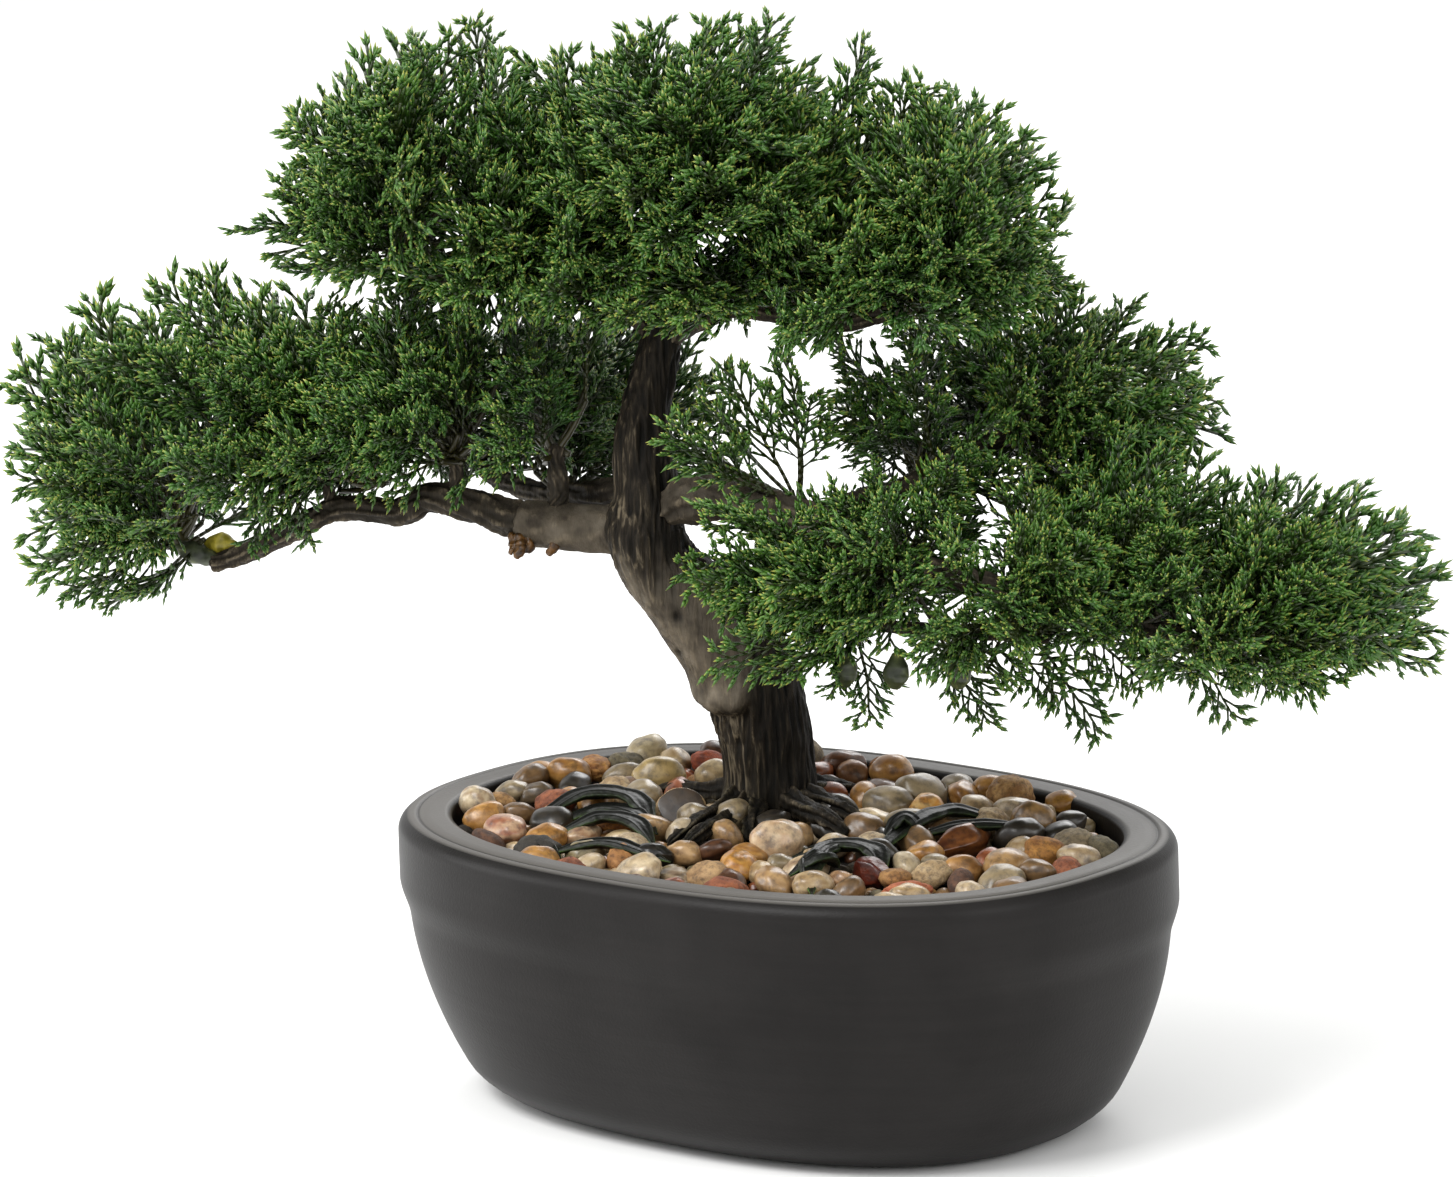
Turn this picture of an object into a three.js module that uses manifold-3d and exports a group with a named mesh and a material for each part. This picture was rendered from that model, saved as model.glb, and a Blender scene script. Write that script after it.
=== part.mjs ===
// An artificial cedar bonsai in an oval pot, in millimetres with +Z up. The origin is the middle of the
// pot's flat underside, and +X runs along the pot's long side.
import * as THREE from "three";
import { mergeVertices } from "three/addons/utils/BufferGeometryUtils.js";
import Module from "manifold-3d";

const wasm = await Module();
wasm.setup();

// Driving dimensions: the pot
const POT_LENGTH = 200;
const POT_WIDTH = 147;
const POT_HEIGHT = 70;
const RIM_WIDTH = 12.6; // from the outside of the wall to the inner edge of the rim
const SHOULDER = 4; // radius that rounds the rim's outer edge
const COLLAR_HEIGHT = 19; // plain band under the rim, which stands proud of the wall
const COLLAR_STEP = 1.9;
const WALL_TAPER = 17; // how far the wall runs in between the collar and the foot
const TAPER_POWER = 1.8;
const FOOT_ROUND = 9; // radius between wall and underside
const FLOOR = 8;
const OVAL_POWER = 2.38; // 2 is an ellipse, more is squarer
const OVAL_SIDES = 40;

// Driving dimensions: what fills the pot
const BED_DEPTH = 6.5; // from the rim down to the planting block at the pot's middle
const BANK_BACK = 3; // how much higher the bed is at the back wall
const BANK_LEFT = 2.5; // and at the left wall
const STONE_BED_LENGTH = 87.4; // half-lengths of the bed that the stone sizes are chosen for
const STONE_BED_WIDTH = 60.9;

// Driving dimensions: the tree
const TREE_SPREAD = 350; // from side to side, tip to tip
const TREE_RISE = 202; // from the bed to the highest tip
const TREE_TURN = 40; // degrees from the pot's long side to the tree's spread
const FOOT_X = -0.188; // where the trunk stands, as shares of the bed's half-lengths
const FOOT_Y = 0.245;
const SPIGOT_RADIUS = 7.5; // stub of the trunk that is planted in the block
const SPIGOT_DEPTH = 34;
const ROOT_REACH = 7; // how far the root ridges stand out of the trunk's foot
const ROOT_RIDGES = 7;
const TREE_SINK = 2; // how far the foot of the tree is pressed into the bed

const CLEARANCE = 0.4; // between pieces that fit or lie together

const FINISH = {
  ceramic: { color: "#2e2e30", roughness: 0.55, metalness: 0 },
  foam: { color: "#3a352d", roughness: 0.95, metalness: 0 },
  bark: { color: "#4f4940", roughness: 0.7, metalness: 0 },
  root: { color: "#2c3022", roughness: 0.4, metalness: 0 },
  plug: { color: "#4a6a2a", roughness: 0.5, metalness: 0 },
  cedar: { color: "#2f5a2c", roughness: 0.55, metalness: 0 },
};

// Booleans

function solidOf(geometry) {
  const bare = geometry.clone();
  bare.deleteAttribute("normal");
  bare.deleteAttribute("uv");
  const merged = mergeVertices(bare, 1e-4);
  return new wasm.Manifold(
    new wasm.Mesh({
      numProp: 3,
      vertProperties: new Float32Array(merged.attributes.position.array),
      triVerts: new Uint32Array(merged.index.array),
    }),
  );
}

function geometryOf(solid) {
  const mesh = solid.getMesh();
  const geometry = new THREE.BufferGeometry();
  geometry.setAttribute("position", new THREE.BufferAttribute(mesh.vertProperties, 3));
  geometry.setIndex(new THREE.BufferAttribute(mesh.triVerts, 1));
  geometry.computeVertexNormals();
  return geometry;
}

function cut(geometry, tools) {
  return geometryOf(tools.reduce((left, tool) => left.subtract(solidOf(tool)), solidOf(geometry)));
}

function join(geometries) {
  return geometryOf(geometries.map(solidOf).reduce((all, next) => all.add(next)));
}

// A closed skin over rings of equally many points, first ring at the bottom.
function skin(rings) {
  const sides = rings[0].length;
  const position = rings.flat().flatMap((p) => [p.x, p.y, p.z]);
  const index = [];
  for (let ring = 0; ring + 1 < rings.length; ring++) {
    for (let i = 0; i < sides; i++) {
      const a = ring * sides + i;
      const b = ring * sides + ((i + 1) % sides);
      index.push(a, b, b + sides, a, b + sides, a + sides);
    }
  }
  [0, rings.length - 1].forEach((ring) => {
    const middle = new THREE.Vector3();
    rings[ring].forEach((p) => middle.addScaledVector(p, 1 / sides));
    const centre = position.length / 3;
    position.push(middle.x, middle.y, middle.z);
    for (let i = 0; i < sides; i++) {
      const a = ring * sides + i;
      const b = ring * sides + ((i + 1) % sides);
      index.push(...(ring ? [centre, a, b] : [centre, b, a]));
    }
  });
  const geometry = new THREE.BufferGeometry();
  geometry.setAttribute("position", new THREE.Float32BufferAttribute(position, 3));
  geometry.setIndex(index);
  return geometry;
}

// The pot

const root = new THREE.Group();

function add(parent, name, geometry, finish) {
  const mesh = new THREE.Mesh(geometry, new THREE.MeshStandardMaterial(finish));
  mesh.name = name;
  parent.add(mesh);
}

// One level ring of the pot's oval, set in from its largest outline.
function ovalRing(inset, height) {
  const ring = [];
  for (let i = 0; i < OVAL_SIDES; i++) {
    const angle = (2 * Math.PI * i) / OVAL_SIDES;
    const share = (v) => Math.sign(v) * Math.abs(v) ** (2 / OVAL_POWER);
    const x = (POT_LENGTH / 2 - inset) * share(Math.cos(angle));
    const y = (POT_WIDTH / 2 - inset) * share(Math.sin(angle));
    ring.push(new THREE.Vector3(x, y, typeof height === "function" ? height(x, y) : height));
  }
  return ring;
}

// How far the outside of the wall is set in at a height: plain collar, taper, and a rounded foot.
function wallInset(height) {
  const below = Math.max(POT_HEIGHT - COLLAR_HEIGHT - height, 0);
  const taper = WALL_TAPER * (below / (POT_HEIGHT - COLLAR_HEIGHT)) ** TAPER_POWER;
  const lift = Math.max(FOOT_ROUND - height, 0);
  const round = FOOT_ROUND - Math.sqrt(FOOT_ROUND ** 2 - lift ** 2);
  return (below > 0 ? COLLAR_STEP : 0) + taper + round;
}

const wallTop = POT_HEIGHT - COLLAR_HEIGHT;
const wallHeights = [0, 0.1, 0.3, 0.6].map((share) => share * FOOT_ROUND);
for (let i = 0; i < 6; i++) wallHeights.push(FOOT_ROUND + ((wallTop - FOOT_ROUND) * i) / 5.2);
const wallRings = wallHeights.map((height) => ovalRing(wallInset(height), height));
const collarRings = [
  ovalRing(COLLAR_STEP, wallTop),
  ovalRing(0, wallTop + COLLAR_STEP),
  ...[0, 30, 60, 90].map((degrees) => {
    const angle = THREE.MathUtils.degToRad(degrees);
    const inset = SHOULDER * (1 - Math.cos(angle));
    return ovalRing(inset, POT_HEIGHT - SHOULDER * (1 - Math.sin(angle)));
  }),
];
const potOutside = skin([...wallRings, ...collarRings]);

// The hollow's wall runs level with the outside, a rim's width further in.
const hollowInset = (height) => RIM_WIDTH + wallInset(Math.max(height, FLOOR)) * 0.8;
const hollowHeights = [0, 0.15, 0.4, 0.7].map((share) => FLOOR + share * (wallTop - FLOOR));

// The hollow up to a level, or what fits in it with a gap all round.
function hollow(gap, level) {
  const sides = hollowHeights.map((height) => ovalRing(hollowInset(height) + gap, height + gap));
  return skin([...sides, ovalRing(RIM_WIDTH + gap, wallTop), ovalRing(RIM_WIDTH + gap, level)]);
}

add(root, "pot", cut(potOutside, [hollow(0, POT_HEIGHT + 5)]), FINISH.ceramic);

// The planting block and the bank that the stones lie on

const bedLength = POT_LENGTH / 2 - RIM_WIDTH;
const bedWidth = POT_WIDTH / 2 - RIM_WIDTH;
const bedHeight = (x, y) =>
  POT_HEIGHT - BED_DEPTH + (BANK_BACK * y) / bedWidth - (BANK_LEFT * x) / bedLength;
const foot = new THREE.Vector3(FOOT_X * bedLength, FOOT_Y * bedWidth, 0);
foot.z = bedHeight(foot.x, foot.y);

function spigot(radius, depth, rise) {
  const shape = new THREE.CylinderGeometry(radius, radius, depth + rise, 20);
  shape.rotateX(Math.PI / 2);
  return shape.translate(foot.x, foot.y, foot.z + (rise - depth) / 2);
}

const spigotHole = spigot(SPIGOT_RADIUS + CLEARANCE, SPIGOT_DEPTH + CLEARANCE, 2 * CLEARANCE + 8);
const block = hollow(CLEARANCE, bedHeight);
add(root, "planting_block", cut(block, [spigotHole]), FINISH.foam);

// The tree, in its own group: x is to its right, y is to its back, z is up from the bed

const tree = new THREE.Group();
tree.position.set(foot.x, foot.y, foot.z - TREE_SINK);
tree.rotation.z = THREE.MathUtils.degToRad(TREE_TURN);
root.add(tree);
root.updateMatrixWorld(true);
const intoTree = tree.matrixWorld.clone().invert();

// A place in the tree: side and back in hundredths of its spread, up in hundredths of its rise.
const at = ([side, back, up]) =>
  new THREE.Vector3((side * TREE_SPREAD) / 100, (back * TREE_SPREAD) / 100, (up * TREE_RISE) / 100);

// A round limb along a smooth route, with a radius in millimetres at each point of the route.
// ridges(share, angle) adds to the radius, and grow makes the same limb thicker all over.
function limb({ route, radii, sides = 8, ridges = () => 0 }, grow = 0) {
  const curve = new THREE.CatmullRomCurve3(route.map(at), false, "centripetal");
  const steps = (route.length - 1) * 2;
  const across = new THREE.Vector3(0, 1, 0);
  const rings = [];
  for (let i = 0; i <= steps; i++) {
    const place = curve.getPoint(i / steps);
    const along = curve.getTangent(i / steps);
    if (i === 0) place.addScaledVector(along, -grow);
    if (i === steps) place.addScaledVector(along, grow);
    across.addScaledVector(along, -across.dot(along)).normalize();
    const third = new THREE.Vector3().crossVectors(along, across);
    const before = Math.min(Math.floor(i / 2), radii.length - 2);
    const radius = THREE.MathUtils.lerp(radii[before], radii[before + 1], i / 2 - before) + grow;
    const ring = [];
    for (let k = 0; k < sides; k++) {
      const angle = (2 * Math.PI * k) / sides;
      const reach = radius + ridges(i / steps, angle);
      const point = place.clone().addScaledVector(across, reach * Math.cos(angle));
      ring.push(point.addScaledVector(third, reach * Math.sin(angle)));
    }
    rings.push(ring);
  }
  return skin(rings);
}

// Root ridges that fan out over the last part of the trunk's foot and die away up it.
const rootRidges = (share, angle) =>
  ROOT_REACH * Math.exp(-share * 22) * (1 + 0.9 * Math.cos(ROOT_RIDGES * angle));

// Each limb is pushed into sockets in those before it in the list.
const LIMBS = {
  trunk: {
    route: [
      [0, 0, -4], [0, 0, 3.5], [-0.2, 0, 12], [-1.4, 0, 18.8], [-2.4, 0, 22.3], [-5.2, 0, 28.6],
      [-7.5, 0, 33.6], [-8.2, 0, 37.3], [-8, 0, 41], [-8.1, 0, 48.4], [-7.7, 0, 53.2],
      [-6.8, 0, 59.3], [-6, 0, 63.4],
    ],
    radii: [12, 11, 11, 12.6, 12.4, 10.6, 9.4, 9.8, 8.2, 6.8, 5.7, 5, 4.8],
    sides: 21,
    ridges: rootRidges,
  },
  left_sleeve: {
    route: [[-8.9, 0.5, 37.3], [-11.3, 1.2, 37.2], [-16.4, 3, 37.6]],
    radii: [6.2, 6, 5.6],
    sides: 12,
  },
  left_branch: {
    route: [
      [-15.3, 2.6, 37.4], [-17.4, 3.3, 38.1], [-19.7, 4, 39.3], [-23.2, 5.4, 40.2], [-25.4, 6.3, 38.3],
      [-29.7, 8, 38.4], [-32.6, 9.1, 36], [-37, 10.9, 31.9], [-38.9, 11.4, 30.9],
    ],
    radii: [4, 4.4, 4.2, 3.4, 3.2, 2.9, 2.7, 2.2, 2],
  },
  left_end: {
    route: [[-38.5, 11.3, 31], [-40.3, 12, 32], [-42.4, 12.6, 33.5]],
    radii: [1.2, 2.4, 1.6],
  },
  rear_branch: {
    route: [
      [-8.1, 1.8, 42], [-11.3, 4.2, 40.6], [-14.2, 8, 39], [-16.4, 11.4, 38.8], [-18.5, 14.3, 39.2],
      [-20, 16.6, 40.4],
    ],
    radii: [3.6, 3.4, 3, 2.6, 2.3, 2],
  },
  right_branch: {
    route: [
      [-7.2, -0.8, 40], [-5, -2.3, 41.6], [-2.9, -4, 42.5], [-0.2, -6.3, 42.2], [3.9, -9.1, 40.5],
      [9.2, -11.4, 36.8], [15.9, -12.6, 33.3], [22.7, -13.1, 30.1], [30.4, -13.4, 25.6],
    ],
    radii: [5.2, 6, 5.4, 4.6, 4.2, 3.6, 3, 2.6, 2.2],
    sides: 10,
  },
  right_rising_branch: {
    route: [[2.5, -8.2, 41], [6, -8, 42.6], [9.5, -6.3, 43.5], [13.7, -3.4, 46.6], [18.7, -1.1, 48.6]],
    radii: [2.6, 2.6, 2.4, 2.2, 2],
  },
  right_low_branch: {
    route: [[6.4, -10.4, 38.4], [5.9, -13.2, 32.6], [7.6, -15, 30.6], [12.3, -15.4, 29.6], [19, -15, 28.4]],
    radii: [1.8, 1.8, 1.8, 1.6, 1.4],
  },
  crown_left_branch: {
    route: [
      [-7.1, 0.4, 61.2], [-9.4, 1.4, 65.1], [-12.2, 2.3, 66.2], [-17, 3.1, 66.8], [-21.6, 4, 68],
      [-24.7, 4.6, 70.4],
    ],
    radii: [2.6, 2.8, 2.6, 2.4, 2.1, 1.8],
  },
  crown_right_branch: {
    route: [
      [-5.9, -0.5, 61], [-3.9, -1.6, 63.6], [-1.1, -2.6, 65], [2.9, -3.4, 63.8], [6.4, -4.2, 63.4],
      [11.2, -4.8, 65.4],
    ],
    radii: [2.4, 2.8, 2.6, 2.5, 2.2, 1.8],
  },
  crown_top_branch: {
    route: [[-6, 0, 62.2], [-5.3, 0.4, 67.4], [-4.2, 0.6, 77]],
    radii: [2.4, 2.8, 2],
  },
  left_peg: {
    route: [[-14.2, 2.2, 38.6], [-14.2, 2.2, 42], [-14.2, 2.2, 47]],
    radii: [2.4, 2.6, 2],
  },
  middle_peg: {
    route: [[-21.4, 4.7, 39.8], [-21.3, 4.7, 43], [-21.2, 4.7, 46]],
    radii: [1.6, 1.8, 1.5],
  },
  outer_peg: {
    route: [[-30.2, 8.2, 37.8], [-30.5, 8.2, 41], [-30.8, 8.2, 44]],
    radii: [1.4, 1.6, 1.3],
  },
};

// Round green plugs that close the undersides of the right branches.
const BULB_RADIUS = 3.2;
const BULBS = [[5.2, -16.6, 25.4], [8.6, -17.1, 25.2], [12.9, -16.6, 24.8]];

const bulb = (place, grow = 0) => {
  const { x, y, z } = at(place);
  return new THREE.SphereGeometry(BULB_RADIUS + grow, 8, 6).rotateX(Math.PI / 2).translate(x, y, z);
};

// Foliage pads: each is the space that one bunch of cedar sprays fills. A pad gives way to those
// before it in the list, and to every limb and bulb.
const PADS = {
  crown_middle_pad: { middle: [-3.6, 0, 80.9], half: [11.3, 14.9, 18.5] },
  crown_left_pad: { middle: [-21.4, 3.7, 81], half: [11.4, 12.9, 16.6] },
  crown_right_pad: { middle: [12, -3.4, 76.2], half: [9.6, 13.1, 15.5] },
  left_outer_pad: { middle: [-41.3, 11.4, 47.3], half: [12.2, 13.1, 20] },
  left_inner_pad: { middle: [-22.3, 6.6, 52.5], half: [11.5, 12.6, 14.7] },
  rear_pad: { middle: [-11.2, 18, 50.2], half: [7.9, 9.1, 12.1] },
  right_outer_pad: { middle: [34.4, -10.6, 31.6], half: [12.3, 12.6, 15] },
  right_lower_pad: { middle: [11.1, -14.3, 35.5], half: [15, 11.4, 12.4] },
  right_upper_pad: { middle: [18.7, 0.9, 49.2], half: [13.2, 12.6, 15.9] },
  front_pad: { middle: [-0.7, -9.1, 52.2], half: [5.4, 5.1, 10] },
};

// A lumpy dome: the lower half is shallower than the upper.
function pad({ middle, half }, grow = 0) {
  const shape = new THREE.SphereGeometry(1, 15, 9).rotateX(Math.PI / 2);
  const position = shape.attributes.position;
  const p = new THREE.Vector3();
  for (let i = 0; i < position.count; i++) {
    p.fromBufferAttribute(position, i);
    const turn = Math.atan2(p.y, p.x);
    const lump = 1 + 0.07 * Math.sin(5 * turn + middle[0]) * Math.sqrt(Math.max(1 - p.z ** 2, 0));
    p.multiplyScalar(lump);
    if (p.z < 0) p.z *= 0.8;
    p.multiply(at(half).addScalar(grow)).add(at(middle));
    position.setXYZ(i, p.x, p.y, p.z);
  }
  return shape;
}

const grownLimbs = Object.fromEntries(
  Object.entries(LIMBS).map(([name, shape]) => [name, limb(shape, CLEARANCE)]),
);
const bedInTree = block.clone().translate(0, 0, CLEARANCE).applyMatrix4(intoTree);
const spigotInTree = spigot(SPIGOT_RADIUS, SPIGOT_DEPTH, 6).applyMatrix4(intoTree);

Object.entries(LIMBS).forEach(([name, shape], i) => {
  const sockets = Object.values(grownLimbs).slice(i + 1);
  const isTrunk = name === "trunk";
  const whole = isTrunk ? join([cut(limb(shape), [bedInTree]), spigotInTree]) : limb(shape);
  add(tree, name, cut(whole, sockets), name === "left_end" ? FINISH.plug : FINISH.bark);
});

BULBS.forEach((place, i) => add(tree, `green_plug_${i + 1}`, bulb(place), FINISH.plug));

const inTheWay = [...Object.values(grownLimbs), ...BULBS.map((place) => bulb(place, CLEARANCE))];
Object.values(PADS).forEach((shape, i) => {
  const earlier = Object.values(PADS).slice(0, i);
  const name = Object.keys(PADS)[i];
  const neighbours = earlier.map((other) => pad(other, 2 * CLEARANCE));
  add(tree, name, cut(pad(shape), [...inTheWay, ...neighbours]), FINISH.cedar);
});

// Root strips that lie over the stones, as routes in shares of the bed's half-lengths

const STRIP_RADIUS = 2;
const STRIP_LIFT = 7.5; // middle of a strip above the bed
const STRIPS = [
  [[-0.6, -0.46], [-0.58, -0.24], [-0.44, -0.18], [-0.34, -0.26]],
  [[-0.33, -0.8], [-0.24, -0.66], [-0.08, -0.62]],
  [[0.42, -0.06], [0.35, 0.25], [0.38, 0.45], [0.5, 0.5]],
  [[0.44, -0.6], [0.32, -0.36], [0.3, -0.16], [0.38, -0.08]],
];

function strip(route, grow = 0) {
  const points = route.map(([x, y]) => {
    const place = new THREE.Vector3(x * bedLength, y * bedWidth, 0);
    place.z = bedHeight(place.x, place.y) + STRIP_LIFT;
    return place;
  });
  const circle = new THREE.Shape().absarc(0, 0, STRIP_RADIUS + grow, 0, 2 * Math.PI);
  const path = new THREE.CatmullRomCurve3(points);
  const sweep = { steps: 8, curveSegments: 4, extrudePath: path, bevelEnabled: false };
  return new THREE.ExtrudeGeometry(circle, sweep);
}

STRIPS.forEach((route, i) => add(root, `root_strip_${i + 1}`, strip(route), FINISH.root));

// Stones: [x and y as shares of the bed's half-lengths, length, width, height, colour]

const STONES = [
  [-0.88, -0.41, 9.5, 7, 9, "#d8d2c4"],
  [-0.86, 0.28, 11.9, 9.3, 6.3, "#b08a4e"],
  [-0.8, 0.52, 11.9, 9.3, 8.9, "#c3bba6"],
  [-0.59, 0.24, 13.1, 10.2, 9.8, "#b7ab8a"],
  [-0.36, -0.02, 12, 9.5, 8, "#6a5f52"],
  [-0.65, -0.62, 13.2, 9.6, 7.9, "#cdb5a2"],
  [-0.46, -0.47, 12, 8.6, 5.9, "#cfc6b4"],
  [-0.32, -0.68, 9.5, 7.4, 6.8, "#7d7a68"],
  [-0.14, -0.56, 9, 7.1, 6.8, "#232120"],
  [0.01, -0.69, 10.7, 8, 5, "#a8a294"],
  [0.12, -0.5, 12.4, 9, 7.5, "#c89b5c"],
  [0.09, -0.2, 14.3, 10.6, 10.7, "#ddd2c6"],
  [-0.26, 0.84, 11.4, 8.4, 7.2, "#6d4a33"],
  [-0.04, 0.7, 10.5, 8, 5, "#6a3f34"],
  [0.13, 0.88, 10.7, 8.4, 5.7, "#a89f8c"],
  [0.36, 0.8, 13.3, 10, 10, "#c09f72"],
  [0.56, 0.58, 11, 9, 9.5, "#7c5636"],
  [0.15, 0.3, 13.1, 9.2, 6.3, "#d9cfb6"],
  [0.2, 0.55, 13.5, 8.6, 7, "#b98c45"],
  [0.5, 0.24, 19, 8.4, 8, "#7a4630"],
  [0.28, -0.36, 9.5, 7.4, 6.3, "#d5cdbd"],
  [0.46, -0.27, 10, 7.6, 7.5, "#6b2a20"],
  [0.56, -0.05, 9.5, 7.4, 6.3, "#8d877a"],
  [0.75, 0.06, 13.4, 10.6, 8.1, "#b99667"],
  [0.62, -0.34, 12, 8.2, 5, "#9c5a44"],
  [0.82, 0.36, 12, 8.4, 5.9, "#c4a878"],
];
const STONE_TURN = 137.5; // degrees from one stone's length to the next one's

// A smaller pot is filled with smaller stones, and a larger one with the same stones.
const grading = Math.min(1, bedLength / STONE_BED_LENGTH, bedWidth / STONE_BED_WIDTH);
const trunkInPot = grownLimbs.trunk.clone().applyMatrix4(tree.matrixWorld);
const overStones = [trunkInPot, ...STRIPS.map((route) => strip(route, CLEARANCE))];

STONES.forEach(([x, y, length, width, height, color], i) => {
  const place = new THREE.Vector3(x * bedLength, y * bedWidth, 0);
  place.z = bedHeight(place.x, place.y) + (grading * height) / 2 + CLEARANCE;
  const stone = new THREE.IcosahedronGeometry(grading / 2, 1).scale(length, width, height);
  stone.rotateZ(THREE.MathUtils.degToRad(i * STONE_TURN)).translate(place.x, place.y, place.z);
  add(root, `stone_${i + 1}`, cut(stone, overStones), { color, roughness: 0.35, metalness: 0 });
});

export default root;
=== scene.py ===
"""An artificial cedar bonsai in an oval pot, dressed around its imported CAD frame."""

import math
import random

import bmesh
import bpy
import numpy as np
from mathutils import Matrix, Vector, noise


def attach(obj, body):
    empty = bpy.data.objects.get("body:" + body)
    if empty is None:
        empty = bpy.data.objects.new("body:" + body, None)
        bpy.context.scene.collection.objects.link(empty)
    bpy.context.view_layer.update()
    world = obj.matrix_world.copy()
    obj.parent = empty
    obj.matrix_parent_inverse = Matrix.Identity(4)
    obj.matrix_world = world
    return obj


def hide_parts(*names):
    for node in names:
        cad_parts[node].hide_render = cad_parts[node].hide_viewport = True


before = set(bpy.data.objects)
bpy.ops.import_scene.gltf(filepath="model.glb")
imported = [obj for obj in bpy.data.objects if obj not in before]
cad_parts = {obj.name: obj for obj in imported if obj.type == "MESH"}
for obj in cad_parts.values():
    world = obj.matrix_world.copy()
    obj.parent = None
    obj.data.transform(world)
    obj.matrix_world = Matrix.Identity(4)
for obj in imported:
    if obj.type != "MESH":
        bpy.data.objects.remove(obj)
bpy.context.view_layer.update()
MM = 0.001  # shapes are worked out in millimetres, and pieces are made in metres

# ---------------------------------------------------------------------------------------------
# Camera: a long lens on a tripod, a little above the rim, off the pot's near right-hand end.

VIEW_AZIMUTH = math.radians(40.0)
VIEW_HEIGHT = math.radians(11.79)
VIEW_ROLL = math.radians(-1.66)
VIEW_DISTANCE = 1.8825
VIEW_TARGET = Vector((0.00504, -0.02504, 0.1323))
LENS = 196.2
SENSOR_WIDTH = 36.0

back = Vector((
    math.sin(VIEW_AZIMUTH) * math.cos(VIEW_HEIGHT),
    -math.cos(VIEW_AZIMUTH) * math.cos(VIEW_HEIGHT),
    math.sin(VIEW_HEIGHT),
))
camera = bpy.data.objects.new("camera", bpy.data.cameras.new("camera"))
camera.data.lens = LENS
camera.data.sensor_width = SENSOR_WIDTH
camera.data.clip_end = 20.0
aim = (-back).to_track_quat("-Z", "Y").to_matrix().to_4x4()
stand = Matrix.Translation(VIEW_TARGET + back * VIEW_DISTANCE)
camera.matrix_world = stand @ aim @ Matrix.Rotation(VIEW_ROLL, 4, "Z")
bpy.context.collection.objects.link(camera)
bpy.context.scene.camera = camera
bpy.context.scene.view_settings.view_transform = "Standard"

# ---------------------------------------------------------------------------------------------
# Studio: a plain pale floor under a bright even sky, with a large soft box overhead in front and
# weaker ones to the left, to the right and behind, so that every side of the tree is lit.

FLOOR_HALF = 20.0
FLOOR_DROP = 0.0002
SKY_STRENGTH = 0.95


def linear(hex_colour):
    """An sRGB hex colour as linear RGBA."""
    parts = [int(hex_colour[i:i + 2], 16) / 255 for i in (1, 3, 5)]
    return (*[p / 12.92 if p <= 0.04045 else ((p + 0.055) / 1.055) ** 2.4 for p in parts], 1.0)


def put(tree, kind, settings=None, inputs=None, ramp=None):
    """Adds a shader node, with its settings, its inputs as values or links, and its colour stops."""
    made = tree.nodes.new("ShaderNode" + kind)
    for name, value in (settings or {}).items():
        setattr(made, name, value)
    for name, value in (inputs or {}).items():
        if isinstance(value, bpy.types.Node):
            value = value.outputs[0]
        if isinstance(value, bpy.types.NodeSocket):
            tree.links.new(value, made.inputs[name])
        else:
            made.inputs[name].default_value = value
    for i, (place, colour) in enumerate(ramp or []):
        stops = made.color_ramp.elements
        stop = stops[i] if i < 2 else stops.new(place)
        stop.position = place
        stop.color = linear(colour)
    return made


def material(name):
    """A new node material, its tree, and its shader."""
    made = bpy.data.materials.new(name)
    made.use_nodes = True
    return made, made.node_tree, made.node_tree.nodes["Principled BSDF"]


def soft_box(name, place, size, watts):
    """A rectangular lamp at a place in metres, turned towards the tree."""
    lamp = bpy.data.lights.new(name, "AREA")
    lamp.shape = "RECTANGLE"
    lamp.size = size[0]
    lamp.size_y = size[1]
    lamp.energy = watts
    made = bpy.data.objects.new(name, lamp)
    made.location = place
    made.rotation_euler = (VIEW_TARGET - Vector(place)).to_track_quat("-Z", "Y").to_euler()
    bpy.context.collection.objects.link(made)


world = bpy.data.worlds.new("studio")
world.use_nodes = True
sky = world.node_tree.nodes["Background"]
sky.inputs["Color"].default_value = (1.0, 1.0, 1.0, 1.0)
sky.inputs["Strength"].default_value = SKY_STRENGTH
bpy.context.scene.world = world
soft_box("key", (-0.25, -1.05, 1.35), (0.9, 0.7), 22.0)
soft_box("side", (1.5, -0.1, 0.8), (0.7, 0.9), 6.0)
soft_box("left", (-1.5, -0.9, 0.6), (0.8, 0.8), 10.0)
soft_box("behind", (-0.6, 1.4, 1.1), (0.9, 0.7), 12.0)

floor_mesh = bpy.data.meshes.new("floor")
signs = ((-1, -1), (1, -1), (1, 1), (-1, 1))
corners = [(x * FLOOR_HALF, y * FLOOR_HALF, -FLOOR_DROP) for x, y in signs]
floor_mesh.from_pydata(corners, [], [(0, 1, 2, 3)])
floor = bpy.data.objects.new("floor", floor_mesh)
bpy.context.collection.objects.link(floor)
paper, _, paper_shader = material("white backdrop paper")
paper_shader.inputs["Base Color"].default_value = linear("#f4f4f3")
paper_shader.inputs["Roughness"].default_value = 0.9
floor_mesh.materials.append(paper)

# ---------------------------------------------------------------------------------------------
# Pot: one slip-cast stoneware shell, oval, with a thick flat rim, a rounded shoulder and a plain
# collar that stands a little proud of the wall. It is left matt and stained charcoal black.

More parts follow.
